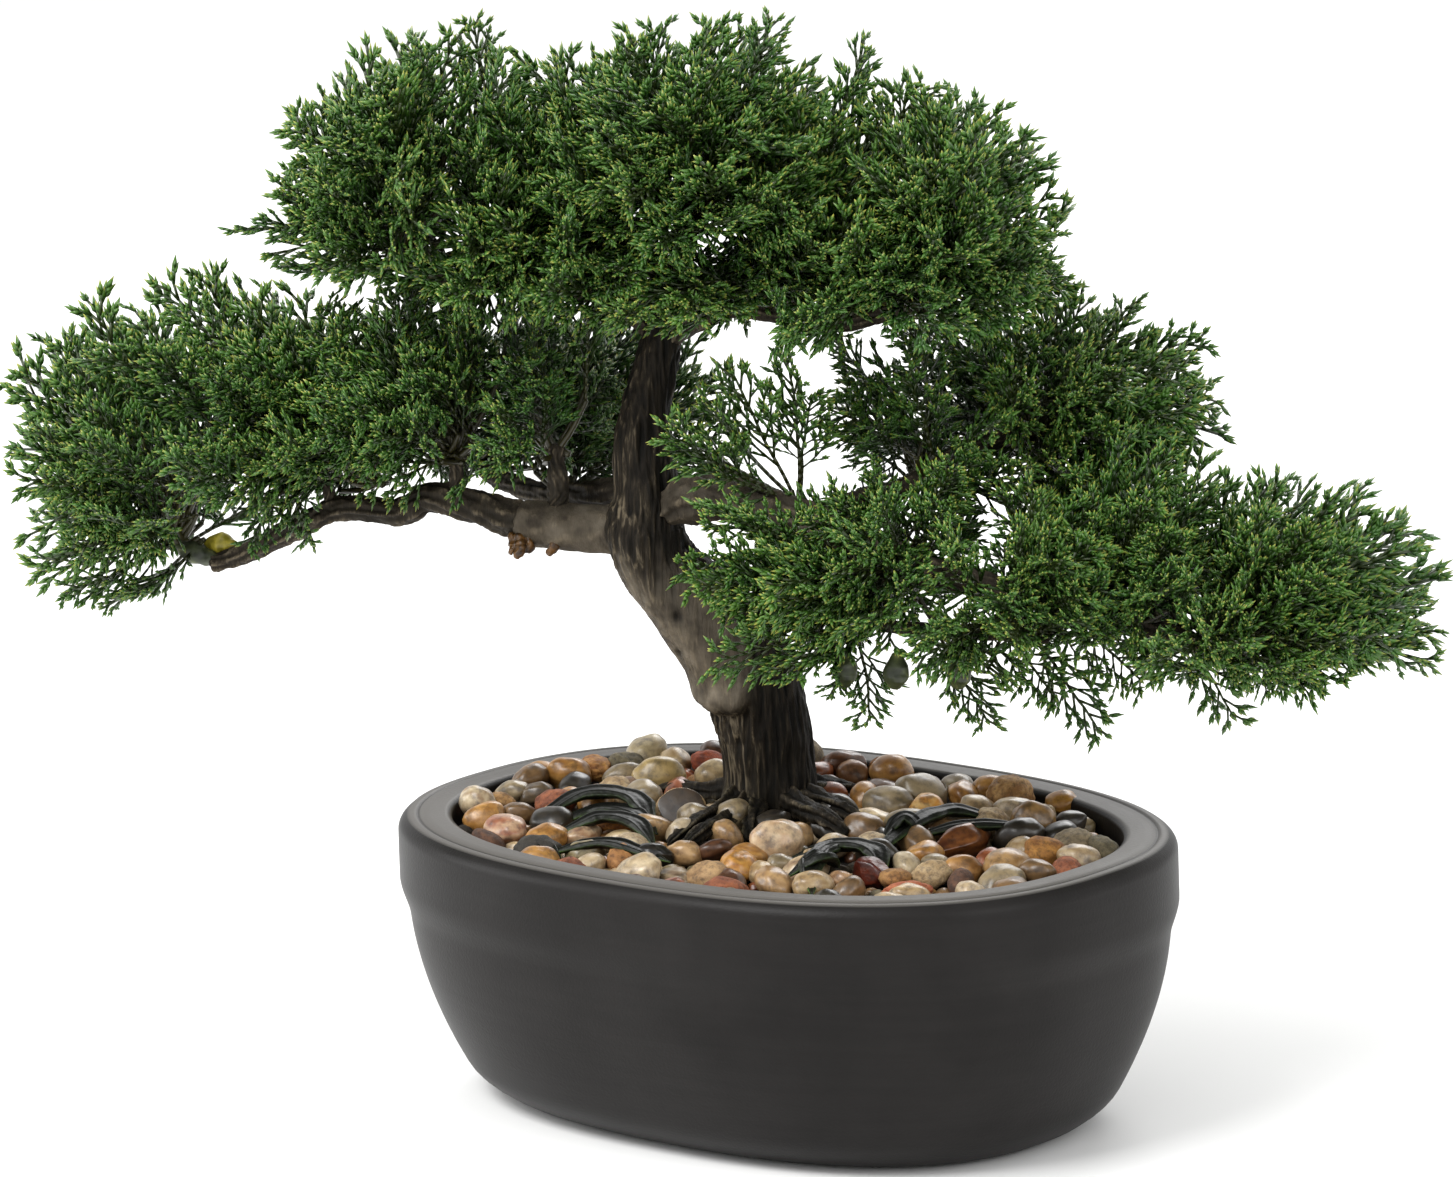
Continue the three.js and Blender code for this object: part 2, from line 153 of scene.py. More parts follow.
POT_HALF_LENGTH = 100.0
POT_HALF_WIDTH = 73.5
POT_HEIGHT = 70.0
RIM_WIDTH = 12.6
SHOULDER = 4.0
RIM_INNER_ROUND = 1.6
COLLAR_HEIGHT = 19.0
COLLAR_STEP = 1.9
COLLAR_BLEND = 9.0
RIM_GROOVE = 0.35
WALL_TAPER = 17.0
TAPER_POWER = 1.8
FOOT_ROUND = 9.0
FLOOR_THICKNESS = 8.0
OVAL_POWER = 2.38
INNER_TAPER = 0.8
WALL_TOP = POT_HEIGHT - COLLAR_HEIGHT


def oval_ring(inset, height, sides):
    """Points of the pot's oval at one height, set in from its largest outline, in millimetres."""
    angle = np.linspace(0, 2 * np.pi, sides, endpoint=False)
    share = [np.sign(v) * np.abs(v) ** (2 / OVAL_POWER) for v in (np.cos(angle), np.sin(angle))]
    x = (POT_HALF_LENGTH - inset) * share[0]
    y = (POT_HALF_WIDTH - inset) * share[1]
    return np.stack([x, y, np.full(sides, height)], axis=1)


def wall_inset(height):
    """How far the outside of the wall is set in at a height: collar, taper and rounded foot."""
    below = WALL_TOP - height
    taper = WALL_TAPER * (max(below, 0.0) / WALL_TOP) ** TAPER_POWER
    lift = max(FOOT_ROUND - height, 0.0)
    fall = min(max((below + 0.4 * COLLAR_BLEND) / COLLAR_BLEND, 0.0), 1.0)
    step = COLLAR_STEP * fall * fall * (3 - 2 * fall)
    return step + taper + FOOT_ROUND - math.sqrt(FOOT_ROUND ** 2 - lift ** 2)


def skin(rings):
    """Points and faces of a closed skin over rings of equally many points."""
    count, sides, _ = rings.shape
    points = np.concatenate([rings.reshape(-1, 3), rings[0].mean(0)[None], rings[-1].mean(0)[None]])
    i = np.arange(sides)
    j = (i + 1) % sides
    faces = []
    for ring in range(count - 1):
        low, high = ring * sides, (ring + 1) * sides
        faces.append(np.stack([low + i, low + j, high + j], axis=1))
        faces.append(np.stack([low + i, high + j, high + i], axis=1))
    last = (count - 1) * sides
    faces.append(np.stack([np.full(sides, count * sides), j, i], axis=1))
    faces.append(np.stack([np.full(sides, count * sides + 1), last + i, last + j], axis=1))
    return points, np.concatenate(faces)


def piece(name, points, faces, finish, slot, *replaced, marks=None, plane=None):
    """A smooth-shaded piece from points in millimetres and triangles, riding on the root body.

    marks are values kept at its points for its finish to read, and plane is a UV at each point.
    """
    mesh = bpy.data.meshes.new(name)
    mesh.vertices.add(len(points))
    mesh.vertices.foreach_set("co", (np.asarray(points, dtype=np.float64) * MM).ravel())
    mesh.loops.add(len(faces) * 3)
    mesh.loops.foreach_set("vertex_index", np.asarray(faces, dtype=np.int32).ravel())
    mesh.polygons.add(len(faces))
    mesh.polygons.foreach_set("loop_start", np.arange(0, len(faces) * 3, 3, dtype=np.int32))
    mesh.update(calc_edges=True)
    mesh.validate()
    for mark, values in (marks or {}).items():
        held = np.asarray(values, dtype=np.float32)
        kind, field = ("FLOAT_COLOR", "color") if held.ndim == 2 else ("FLOAT", "value")
        mesh.attributes.new(mark, kind, "POINT").data.foreach_set(field, held.ravel())
    if plane is not None:
        corners_of = np.empty(len(mesh.loops), dtype=np.int32)
        mesh.loops.foreach_get("vertex_index", corners_of)
        layer = mesh.uv_layers.new(name="OFBake")
        layer.data.foreach_set("uv", np.asarray(plane, dtype=np.float32)[corners_of].ravel())
    mesh.shade_smooth()
    mesh.materials.append(finish)
    made = bpy.data.objects.new(name, mesh)
    bpy.context.collection.objects.link(made)
    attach(made, "root")
    if replaced:
        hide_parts(*replaced)
    return made


# Stoneware left unglazed and stained through: a nearly even charcoal with faint cloudy mottling,
# faint level lines from the sponge that smoothed it, a scuffed rim top painted paler, which is also
# painted reflection of the sky, and a soft satin shine.
stoneware, tree, shader = material("matt charcoal slip-cast stoneware")
place = put(tree, "TexCoord")
CLOUD_MM = 28.0
GRAIN_MM = 0.7
SPONGE_LINE_MM = 2.2
clouds = put(tree, "TexNoise", inputs={
    "Vector": place.outputs["Object"], "Scale": 1000 / CLOUD_MM, "Detail": 4.0,
})
stain = put(tree, "ValToRGB", inputs={"Fac": clouds}, ramp=[(0.3, "#161413"), (0.7, "#201e1d")])
flat = put(tree, "Mapping", inputs={"Vector": place.outputs["Object"], "Scale": (0.06, 0.06, 1.0)})
lines = put(tree, "TexNoise", inputs={"Vector": flat, "Scale": 1000 / SPONGE_LINE_MM, "Detail": 3.0})
line_stain = put(tree, "ValToRGB", inputs={"Fac": lines}, ramp=[(0.35, "#8a8a8a"), (0.7, "#ffffff")])
body_colour = put(tree, "Mix", {"data_type": "RGBA", "blend_type": "MULTIPLY"}, {
    0: 0.2, 6: stain, 7: line_stain,
})
level = put(tree, "SeparateXYZ", inputs={0: place.outputs["Object"]})
# The rim's flat top is painted paler: part scuffing, part painted reflection of the sky at a grazing angle.
rim_scuff_and_sheen = put(tree, "MapRange", inputs={
    "Value": level.outputs[2],
    "From Min": (POT_HEIGHT - 0.5) * MM,
    "From Max": (POT_HEIGHT - 0.1) * MM,
    "To Max": 0.85,
})
rim_colour = put(tree, "Mix", {"data_type": "RGBA"}, {
    0: rim_scuff_and_sheen, 6: body_colour.outputs[2], 7: linear("#625f5b"),
})
tree.links.new(rim_colour.outputs[2], shader.inputs["Base Color"])
grain = put(tree, "TexNoise", inputs={
    "Vector": place.outputs["Object"], "Scale": 1000 / GRAIN_MM, "Detail": 2.0,
})
shine = put(tree, "MapRange", inputs={"Value": clouds, "To Min": 0.36, "To Max": 0.5})
tree.links.new(shine.outputs[0], shader.inputs["Roughness"])
grit = put(tree, "Bump", inputs={"Strength": 0.16, "Distance": 0.0004, "Height": grain})
ridges = put(tree, "Bump", inputs={"Strength": 0.08, "Distance": 0.0006, "Height": lines, "Normal": grit})
tree.links.new(ridges.outputs[0], shader.inputs["Normal"])
shader.inputs["Specular IOR Level"].default_value = 0.15

POT_SIDES = 240
WALL_RINGS = 40
COLLAR_FOOT = WALL_TOP + 4.0
profile = []
for step in range(8):
    angle = math.pi / 2 * step / 8
    height = FOOT_ROUND * (1 - math.cos(angle))
    profile.append((wall_inset(height), height))
for step in range(WALL_RINGS):
    height = FOOT_ROUND + (COLLAR_FOOT - FOOT_ROUND) * step / (WALL_RINGS - 1)
    profile.append((wall_inset(height), height))
profile.append((0.0, COLLAR_FOOT + 5.0))
for step in range(9):
    angle = math.pi / 2 * step / 8
    profile.append((SHOULDER * (1 - math.cos(angle)), POT_HEIGHT - SHOULDER * (1 - math.sin(angle))))
for inset, drop in ((0.4, 0.1), (0.7, RIM_GROOVE), (1.2, RIM_GROOVE), (1.6, 0.0), (4.0, 0.0)):
    profile.append((SHOULDER + inset, POT_HEIGHT - drop))
for step in range(7):
    angle = math.pi / 2 * step / 6
    inset = RIM_WIDTH - RIM_INNER_ROUND * (1 - math.sin(angle))
    profile.append((inset, POT_HEIGHT - RIM_INNER_ROUND * (1 - math.cos(angle))))
for height in (WALL_TOP, 40.0, 25.0, 14.0, FLOOR_THICKNESS + 1.0, FLOOR_THICKNESS):
    profile.append((RIM_WIDTH + INNER_TAPER * wall_inset(height), height))
rings = np.stack([oval_ring(inset, height, POT_SIDES) for inset, height in profile])
points, faces = skin(rings)
# The mould and the sponge leave the wall very slightly uneven.
WAVER = 0.35
for point in points:
    waver = noise.noise(Vector(point) * 0.02) * WAVER
    outward = np.array([point[0], point[1], 0.0])
    if 2.0 < point[2] < POT_HEIGHT - 0.5:
        point += outward / max(np.linalg.norm(outward), 1.0) * (waver - 0.2)
piece("pot_shell", points, faces, stoneware, "ceramic", "pot")

# ---------------------------------------------------------------------------------------------
# Planting block: a moulded block of dark rigid foam, glued into the pot's hollow. Its rough top
# is banked up towards the back and the left, and carries the tree and the stones.

BED_HALF_LENGTH = POT_HALF_LENGTH - RIM_WIDTH
BED_HALF_WIDTH = POT_HALF_WIDTH - RIM_WIDTH
BED_DEPTH = 6.5
BANK_BACK = 3.0
BANK_LEFT = 2.5
BED_SIDES = 160
BED_LUMP = 0.9
FOAM_GAP = 0.4


def bed_level(x, y):
    """Height of the bank at a place, in millimetres."""
    return POT_HEIGHT - BED_DEPTH + BANK_BACK * y / BED_HALF_WIDTH - BANK_LEFT * x / BED_HALF_LENGTH


def rough(places, scale):
    """Smooth noise between -1 and 1 at each place, scale being the size of its lumps."""
    return np.array([noise.noise(Vector(place)) for place in np.asarray(places) / scale])


# Open-celled foam gives the eye a dead, grainy dark brown with no shine at all.
foam, tree, shader = material("dark rigid planting foam")
CELL_MM = 1.4
place = put(tree, "TexCoord")
cells = put(tree, "TexVoronoi", inputs={"Vector": place.outputs["Object"], "Scale": 1000 / CELL_MM})
foam_tone = put(tree, "ValToRGB", inputs={"Fac": cells}, ramp=[(0.1, "#0f0d0a"), (0.7, "#231d16")])
tree.links.new(foam_tone.outputs[0], shader.inputs["Base Color"])
cell_bump = put(tree, "Bump", inputs={"Strength": 0.6, "Distance": 0.0006, "Height": cells})
tree.links.new(cell_bump.outputs[0], shader.inputs["Normal"])
shader.inputs["Roughness"].default_value = 0.95

foam_rings = []
for height in (FLOOR_THICKNESS, 14.0, 25.0, 40.0, WALL_TOP, 58.0):
    inset = RIM_WIDTH + INNER_TAPER * wall_inset(height) + FOAM_GAP
    foam_rings.append(oval_ring(inset, max(height, FLOOR_THICKNESS + FOAM_GAP), BED_SIDES))
for share in (1.0, 0.985, 0.95, *np.linspace(0.9, 0.04, 28)):
    ring = oval_ring(RIM_WIDTH + FOAM_GAP, 0.0, BED_SIDES) * share
    ring[:, 2] = bed_level(ring[:, 0], ring[:, 1]) - (1.0 if share == 1.0 else 0.0)
    ring[:, 2] += BED_LUMP * rough(ring, 4.0) - 0.6
    foam_rings.append(ring)
piece("planting_foam", *skin(np.stack(foam_rings)), foam, "foam", "planting_block")

# ---------------------------------------------------------------------------------------------
# Stones: river pebbles from a bag, poured round the tree. Most are tumbled and polished, a few are
# broken or porous. Each of the large ones takes its place, its turn and its size from its solid.

PEBBLE_FINENESS = 5
SMALL_FINENESS = 4


def pebble(middle, half, kind, seed, tones, fineness):
    """Points, faces and colours of one stone; the rows of half are its three half-lengths."""
    ball = bmesh.new()
    bmesh.ops.create_icosphere(ball, subdivisions=fineness, radius=1.0)
    unit = np.array([v.co for v in ball.verts])
    faces = np.array([[v.index for v in f.verts] for f in ball.faces])
    ball.free()
    shift = np.array([seed * 7.31, seed * 3.77, seed * 1.93])
    swell = 0.16 * rough(unit + shift, 1.1) + 0.07 * rough(unit * 2.0 + shift, 1.0)
    if kind == "rough":
        pits = rough(unit * 5.0 + shift, 1.0)
        swell += 0.06 * rough(unit * 3.2 - shift, 1.0) - 0.07 * np.clip(pits, 0.12, 1.0)
        swell += 0.02 * rough(unit * 14.0 + shift, 1.0)
    if kind == "broken":
        for turn in range(5):
            face = np.array([
                math.sin(seed * 2.1 + turn * 2.4),
                math.cos(seed * 1.3 + turn * 1.9),
                math.sin(seed + turn * 1.1) * 0.8,
            ])
            reach = unit @ face / np.linalg.norm(face)
            swell -= np.clip(reach * (1 + swell) - 0.72, 0.0, None)
        swell += 0.015 * rough(unit * 9.0 + shift, 1.0)
    shape = unit * (1 + swell)[:, None]
    if kind == "split":
        shape[:, 1] = np.where(shape[:, 1] < -0.45, -0.45 + 0.12 * (shape[:, 1] + 0.45), shape[:, 1])
    bands = 0.5 + 0.9 * rough(unit * np.array([1.0, 1.0, 2.4]) + shift, 0.7)
    bands += 0.35 * rough(unit * 6.0 - shift, 1.0)
    if kind == "split":
        bands = np.where(shape[:, 1] < -0.44, 1.0, 0.0)
    amount = np.clip(bands, 0.0, 1.0)[:, None]
    colours = np.array(linear(tones[0])) * (1 - amount) + np.array(linear(tones[1])) * amount
    return shape @ half + middle, faces, colours


def join(parts):
    """Several meshes, each of points, faces and further columns, as one."""
    start = 0
    moved = []
    for part in parts:
        moved.append(part[1] + start)
        start += len(part[0])
    columns = [np.concatenate(column) for column in zip(*[(part[0], *part[2:]) for part in parts])]
    return columns[0], np.concatenate(moved), *columns[1:]


def stone_finish(name, shine, grain_mm, relief):
    """Stone of any colour, which its surface holds, with speckles and fine relief."""
    finish, tree, shader = material(name)
    place = put(tree, "TexCoord")
    tint = put(tree, "Attribute", {"attribute_name": "tint"})
    speckle = put(tree, "TexNoise", inputs={
        "Vector": place.outputs["Object"], "Scale": 1000 / grain_mm, "Detail": 5.0, "Roughness": 0.7,
    })
    shade = put(tree, "ValToRGB", inputs={"Fac": speckle}, ramp=[
        (0.36, "#77654a"), (0.5, "#d5c19a"), (0.68, "#f3e2bd"),
    ])
    mixed = put(tree, "Mix", {"data_type": "RGBA", "blend_type": "MULTIPLY"}, {0: 0.75, 6: tint, 7: shade})
    tree.links.new(mixed.outputs[2], shader.inputs["Base Color"])
    wear = put(tree, "MapRange", inputs={"Value": speckle, "To Min": shine + 0.12, "To Max": shine - 0.08})
    tree.links.new(wear.outputs[0], shader.inputs["Roughness"])
    bump = put(tree, "Bump", inputs={"Strength": relief, "Distance": 0.0005, "Height": speckle})
    tree.links.new(bump.outputs[0], shader.inputs["Normal"])
    shader.inputs["IOR"].default_value = 1.54
    return finish


# Tumbled quartz and jasper take a waxy polish, so each pebble has a soft window of light on it.
polished_stone = stone_finish("river pebble, tumbled and polished", 0.3, 2.6, 0.12)
# Sandstone and broken jasper stay dry and gritty, and show no highlight.
gritty_stone = stone_finish("sandstone pebble, broken and gritty", 0.72, 1.1, 0.7)
STONE_FINISH = {
    "smooth": polished_stone, "split": polished_stone, "broken": polished_stone, "rough": gritty_stone,
}
# The three axes of a split stone, which turns its flat inner face up and to the front right.
SPLIT_FACING = np.array([[0.77, 0.64, 0.0], [-0.5, 0.6, -0.62], [-0.4, 0.48, 0.78]])

# Kind, main colour and second colour of each large stone.
STONES = [
    ("smooth", "#d9d3c5", "#9d8a76"), ("rough", "#d0a060", "#8c5a2c"), ("smooth", "#cac3ae", "#b0a68c"),
    ("smooth", "#b9a97f", "#8b7d58"), ("split", "#cdb796", "#453c36"), ("smooth", "#d0b9a9", "#a06c58"),
    ("smooth", "#d3c4b4", "#a07c66"), ("smooth", "#7c7863", "#9c957e"), ("broken", "#141313", "#2c2a27"),
    ("smooth", "#aba293", "#7a6857"), ("smooth", "#d0a55e", "#b27c36"), ("smooth", "#ddd3c6", "#c8ae98"),
    ("smooth", "#805537", "#4c2f1f"), ("smooth", "#5a443e", "#8a7266"), ("smooth", "#98907c", "#736857"),
    ("rough", "#c5a474", "#8b6534"), ("smooth", "#a98b60", "#7c6240"), ("smooth", "#dccfb2", "#b89e70"),
    ("broken", "#cb9142", "#e0c28c"), ("broken", "#8a5a35", "#4c2a1a"), ("smooth", "#d7ccba", "#a89482"),
    ("broken", "#3a120d", "#642a1c"), ("smooth", "#a59d8f", "#787060"), ("smooth", "#b99c74", "#8f7350"),
    ("rough", "#a8583c", "#c9805e"), ("smooth", "#cab18b", "#a57b48"),
]
STONE_SLOTS = {
    1: "pale_stone", 3: "pale_stone", 4: "pale_stone", 6: "pale_stone", 7: "pale_stone", 10: "pale_stone",
    12: "pale_stone", 18: "pale_stone", 21: "pale_stone", 23: "pale_stone", 15: "pale_stone",
    9: "dark_stone", 5: "dark_stone", 8: "dark_stone", 14: "dark_stone",
    13: "brown_stone", 20: "brown_stone", 22: "brown_stone", 25: "brown_stone", 17: "brown_stone",
}
taken = []
for number, (kind, *tones) in enumerate(STONES, 1):
    solid = np.array([v.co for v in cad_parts[f"stone_{number}"].data.vertices]) / MM
    middle = (solid.max(0) + solid.min(0)) / 2
    spread = solid - solid.mean(0)
    turns = np.linalg.eigh(spread.T @ spread)[1].T[::-1]
    half = turns * (np.abs(spread @ turns.T).max(0) * 1.03)[:, None]
    if kind == "split":
        half = SPLIT_FACING * np.linalg.norm(half, axis=1)[[0, 2, 1]][:, None] * 1.08
    points, faces, colours = pebble(middle, half, kind, number, tones, PEBBLE_FINENESS)
    slot = STONE_SLOTS.get(number, "tan_stone")
    finish = STONE_FINISH[kind]
    piece(f"pebble_{number}", points, faces, finish, slot, f"stone_{number}", marks={"tint": colours})
    taken.append((middle[0], middle[1], float(np.linalg.norm(half[:2], axis=1).mean())))

# Smaller stones that show between the large ones: place as shares of the bed's half-lengths, length
# in millimetres, kind and two colours.
SMALL_STONES = [
    (-0.86, -0.29, 8.0, "rough", "#c3a070", "#7c5c34"), (-0.83, -0.13, 8.6, "smooth", "#6f6456", "#4e453b"),
    (-0.70, 0.04, 7.0, "smooth", "#8b6d50", "#5f4836"), (-0.65, 0.12, 8.0, "smooth", "#8d7a72", "#a89488"),
    (-0.59, 0.56, 10.0, "rough", "#a9522a", "#6c2f1a"), (-0.64, -0.35, 8.0, "smooth", "#cfc4ae", "#a99a80"),
    (-0.43, -0.31, 9.5, "rough", "#c98c3f", "#9a6226"), (-0.19, -0.66, 9.5, "rough", "#c09260", "#83592f"),
    (-0.21, -0.27, 10.7, "smooth", "#d2ccc0", "#a69b8b"), (0.19, -0.48, 7.6, "smooth", "#cdbfa6", "#a08a6c"),
    (-0.20, 0.79, 8.6, "smooth", "#b08a6c", "#8c6448"), (-0.17, 0.93, 8.0, "rough", "#b8854a", "#83562c"),
    (-0.18, 0.61, 7.6, "smooth", "#4d3527", "#6e4e38"), (0.05, 0.82, 8.0, "smooth", "#6d4a34", "#4a3124"),
    (0.48, 0.92, 8.6, "smooth", "#bf9650", "#94692f"), (0.62, 0.71, 8.6, "smooth", "#4e4b49", "#38363a"),
    (0.42, -0.39, 8.0, "smooth", "#c7aa90", "#a08066"), (0.50, -0.12, 9.5, "smooth", "#cfc9bc", "#aaa08e"),
    (0.75, 0.30, 11.0, "rough", "#c5944c", "#8f6230"), (0.87, 0.30, 10.5, "smooth", "#cbc0ac", "#927e66"),
    (0.79, 0.56, 7.0, "smooth", "#7b6450", "#574436"), (0.28, 0.13, 8.0, "broken", "#262523", "#3c3a38"),
]
# What fills in between, wherever there is room, in the same mixture of colours.
FILL_TONES = [
    ("#cfc4ae", "#a4957a"), ("#b58f5f", "#86623a"), ("#8d7458", "#62503c"), ("#c9a066", "#946a38"),
    ("#6a4a38", "#452f24"), ("#a39a88", "#787060"), ("#3a3734", "#24221f"), ("#d8d0c2", "#b3a48e"),
    ("#a8694a", "#78432c"), ("#7f7b68", "#5c5848"), ("#bfa583", "#93785a"), ("#c8b9a0", "#9c8768"),
]
FILL_TRIES = 2600
STONE_REACH = 0.42  # a stone's mean half-length across, as a share of its length
STONE_SEAT = 0.34  # how high its middle lies over the bed, as a share of its length
ROUGH_SHARE = 0.25
draw = random.Random(11)
gravel = {"smooth": [], "rough": []}


def lay_stone(x, y, length, kind, tones, seed, lift):
    """Adds one small stone to the gravel, lying on the bed at any turn."""
    turn = draw.uniform(0, 2 * math.pi)
    lean = draw.uniform(-0.35, 0.35)
    cos, sin = math.cos(turn), math.sin(turn)
    axes = np.array([
        [cos, sin, lean], [-sin, cos, draw.uniform(-0.3, 0.3)], [-lean * cos, -lean * sin, 1.0],
    ])
    shares = np.array([0.5, draw.uniform(0.36, 0.42), draw.uniform(0.3, 0.38)])
    half = axes * (shares * length)[:, None]
    middle = np.array([x, y, bed_level(x, y) + lift])
    stone = pebble(middle, half, kind, seed, tones, SMALL_FINENESS)
    gravel["rough" if kind == "rough" else "smooth"].append(stone)
    taken.append((x, y, STONE_REACH * length))


for number, (x, y, length, kind, *tones) in enumerate(SMALL_STONES, 40):
    lift = STONE_SEAT * length + 0.6
    lay_stone(x * BED_HALF_LENGTH, y * BED_HALF_WIDTH, length, kind, tones, number, lift)
TREE_FOOT = np.array([-16.43, 14.92, 62.7])
TRUNK_KEEP_OUT = 13.5
for number in range(FILL_TRIES):
    x, y = draw.uniform(-1, 1) * BED_HALF_LENGTH, draw.uniform(-1, 1) * BED_HALF_WIDTH
    top_layer = number < FILL_TRIES // 2
    length = draw.uniform(8.5, 13.0) if top_layer else draw.uniform(5.0, 7.5)
    reach = STONE_REACH * length
    edge = (abs(x) / (BED_HALF_LENGTH - reach)) ** OVAL_POWER
    edge += (abs(y) / (BED_HALF_WIDTH - reach)) ** OVAL_POWER
    pack = 0.84 if top_layer else 0.7
    clear = all(math.hypot(x - a, y - b) > (reach + r) * pack for a, b, r in taken)
    if edge < 1 and clear and math.hypot(x - TREE_FOOT[0], y - TREE_FOOT[1]) > TRUNK_KEEP_OUT:
        kind = "rough" if draw.random() < ROUGH_SHARE else "smooth"
        lift = STONE_SEAT * length + (0.4 if top_layer else -1.0)
        lay_stone(x, y, length, kind, draw.choice(FILL_TONES), number, lift)
for kind, stones in gravel.items():
    points, faces, colours = join(stones)
    piece(f"gravel_{kind}", points, faces, STONE_FINISH[kind], "tan_stone", marks={"tint": colours})

# ---------------------------------------------------------------------------------------------
# Trunk: one thick moulding of painted resin over a wire, planted in the block. Its foot is ribbed
# like old bark, with a smoother swelling limb that laps over it on the left, below the first fork.

TREE_SPREAD = 350.0
TREE_RISE = 202.0
TREE_TURN = math.radians(40.0)


def in_pot(points):
    """Places in the tree, right, back and up in millimetres from its foot, as places in the pot."""
    side, behind, up = np.asarray(points, dtype=float).T
    cos, sin = math.cos(TREE_TURN), math.sin(TREE_TURN)
    return np.stack([side * cos - behind * sin, side * sin + behind * cos, up], axis=1) + TREE_FOOT


def in_tree(route):
    """A route in hundredths of the tree's spread, spread and rise, in millimetres."""
    return np.asarray(route) * np.array([TREE_SPREAD, TREE_SPREAD, TREE_RISE]) / 100


def smooth_route(route, samples):
    """Places along a smooth curve through the points of a route, and where each lies among them."""
    ends = np.concatenate([[2 * route[0] - route[1]], route, [2 * route[-1] - route[-2]]])
    where = np.linspace(0, len(route) - 1, samples)
    span = np.minimum(where.astype(int), len(route) - 2)
    a, b, c, d = (ends[span + i] for i in range(4))
    gaps = [np.sqrt(np.linalg.norm(q - p, axis=1))[:, None] for p, q in ((a, b), (b, c), (c, d))]
    leave = ((b - a) / gaps[0] - (c - a) / (gaps[0] + gaps[1])) * gaps[1] + c - b
    arrive = ((d - c) / gaps[2] - (d - b) / (gaps[1] + gaps[2])) * gaps[1] + c - b
    t = (where - span)[:, None]
    bend = (2 * b - 2 * c + leave + arrive) * t ** 3 + (3 * c - 3 * b - 2 * leave - arrive) * t ** 2
    return bend + leave * t + b, where


END_ROUND = 0.6  # how far a limb's rounded end stands out, as a share of its radius


def limb(route, radii, samples, sides, carve=None):
    """Points, faces, and relief of a round limb with rounded ends.

    carve(share along it, angles, places) is the relief: what it adds to the radius at each point.
    """
    middles, where = smooth_route(np.asarray(route, dtype=float), samples)
    along = np.gradient(middles, axis=0)
    along /= np.linalg.norm(along, axis=1)[:, None]
    radius = np.interp(where, np.arange(len(radii)), radii)
    angle = np.linspace(0, 2 * np.pi, sides, endpoint=False)
    across = np.array([0.0, 1.0, 0.0])
    rings, reliefs = [], []
    for i in range(samples):
        across = across - along[i] * (across @ along[i])
        across /= np.linalg.norm(across)
        third = np.cross(along[i], across)
        outward = np.cos(angle)[:, None] * across + np.sin(angle)[:, None] * third
        places = middles[i] + outward * radius[i]
        relief = carve(where[i] / (len(radii) - 1), angle, places) if carve else np.zeros(sides)
        rings.append(middles[i] + outward * (radius[i] + relief)[:, None])
        reliefs.append(relief)
    for end, step in ((0, -1.0), (-1, 1.0)):
        edge = rings[end]
        middle = middles[end]
        for share in (0.35, 0.7, 0.92):
            beyond = along[end] * step * share * radius[end] * END_ROUND
            ring = middle + (edge - middle) * math.sqrt(1 - share ** 2) + beyond
            rings.insert(0 if end == 0 else len(rings), ring)
            reliefs.insert(0 if end == 0 else len(reliefs), reliefs[end] * 0.5)
    points, faces = skin(np.stack(rings))
    relief = np.concatenate([np.concatenate(reliefs), [0.0, 0.0]])
    return points, faces, relief


BROAD_RIDGE = 1.922  # millimetres from one ridge to the next
NARROW_RIDGE = 0.806


def fibres(places):
    """Long ridges and furrows that run up the trunk, from -1 to 1."""
    stretched = places * np.array([1.0, 1.0, 0.09])
    broad = rough(stretched, BROAD_RIDGE)
    narrow = rough(stretched + 31.7, NARROW_RIDGE)
    return 0.45 * (1 - 3.2 * np.abs(broad)) + 0.6 * narrow


# Cast resin painted near black in its furrows and dry-brushed grey-brown on its ridges, with moss
# green at its foot: the eye sees dark fibres, and a faint satin where a ridge is smooth.
bark, tree, shader = material("painted resin bark, ribbed and dry-brushed")
FIBRE_MM = 0.7
MOTTLE_MM = 5.0
MOSS_LOW_MM = 64.0
MOSS_TOP_MM = 86.0
place = put(tree, "TexCoord")
relief_mark = put(tree, "Attribute", {"attribute_name": "relief"})
smooth_mark = put(tree, "Attribute", {"attribute_name": "smooth"})
stretch = put(tree, "Mapping", inputs={"Vector": place.outputs["Object"], "Scale": (1.0, 1.0, 0.13)})
threads = put(tree, "TexNoise", inputs={
    "Vector": stretch, "Scale": 1000 / FIBRE_MM, "Detail": 4.0, "Roughness": 0.65,
})
mottle = put(tree, "TexNoise", inputs={
    "Vector": place.outputs["Object"], "Scale": 1000 / MOTTLE_MM, "Detail": 5.0,
})
lit = put(tree, "Math", {"operation": "MULTIPLY_ADD"}, {0: threads, 1: 0.9, 2: -0.45})
height_and_thread = put(tree, "Math", {"operation": "ADD"}, {0: relief_mark.outputs["Fac"], 1: lit})
# On the trunk the relief mark also holds painted light and shade: ribs paler on the lit left side and darker
# elsewhere.
ribbed = put(tree, "ValToRGB", inputs={"Fac": height_and_thread}, ramp=[
    (0.15, "#080704"), (0.42, "#16120c"), (0.62, "#29231a"), (0.88, "#665c4b"),
])
worn = put(tree, "ValToRGB", inputs={"Fac": mottle}, ramp=[
    (0.3, "#5a5146"), (0.5, "#857a69"), (0.68, "#a39784"),
])
worn_dark = put(tree, "Mix", {"data_type": "RGBA", "blend_type": "MULTIPLY"}, {0: 0.4, 6: worn, 7: ribbed})
rind = put(tree, "Mix", {"data_type": "RGBA"}, {
    0: smooth_mark.outputs["Fac"], 6: ribbed, 7: worn_dark.outputs[2],
})
height = put(tree, "SeparateXYZ", inputs={0: place.outputs["Object"]})
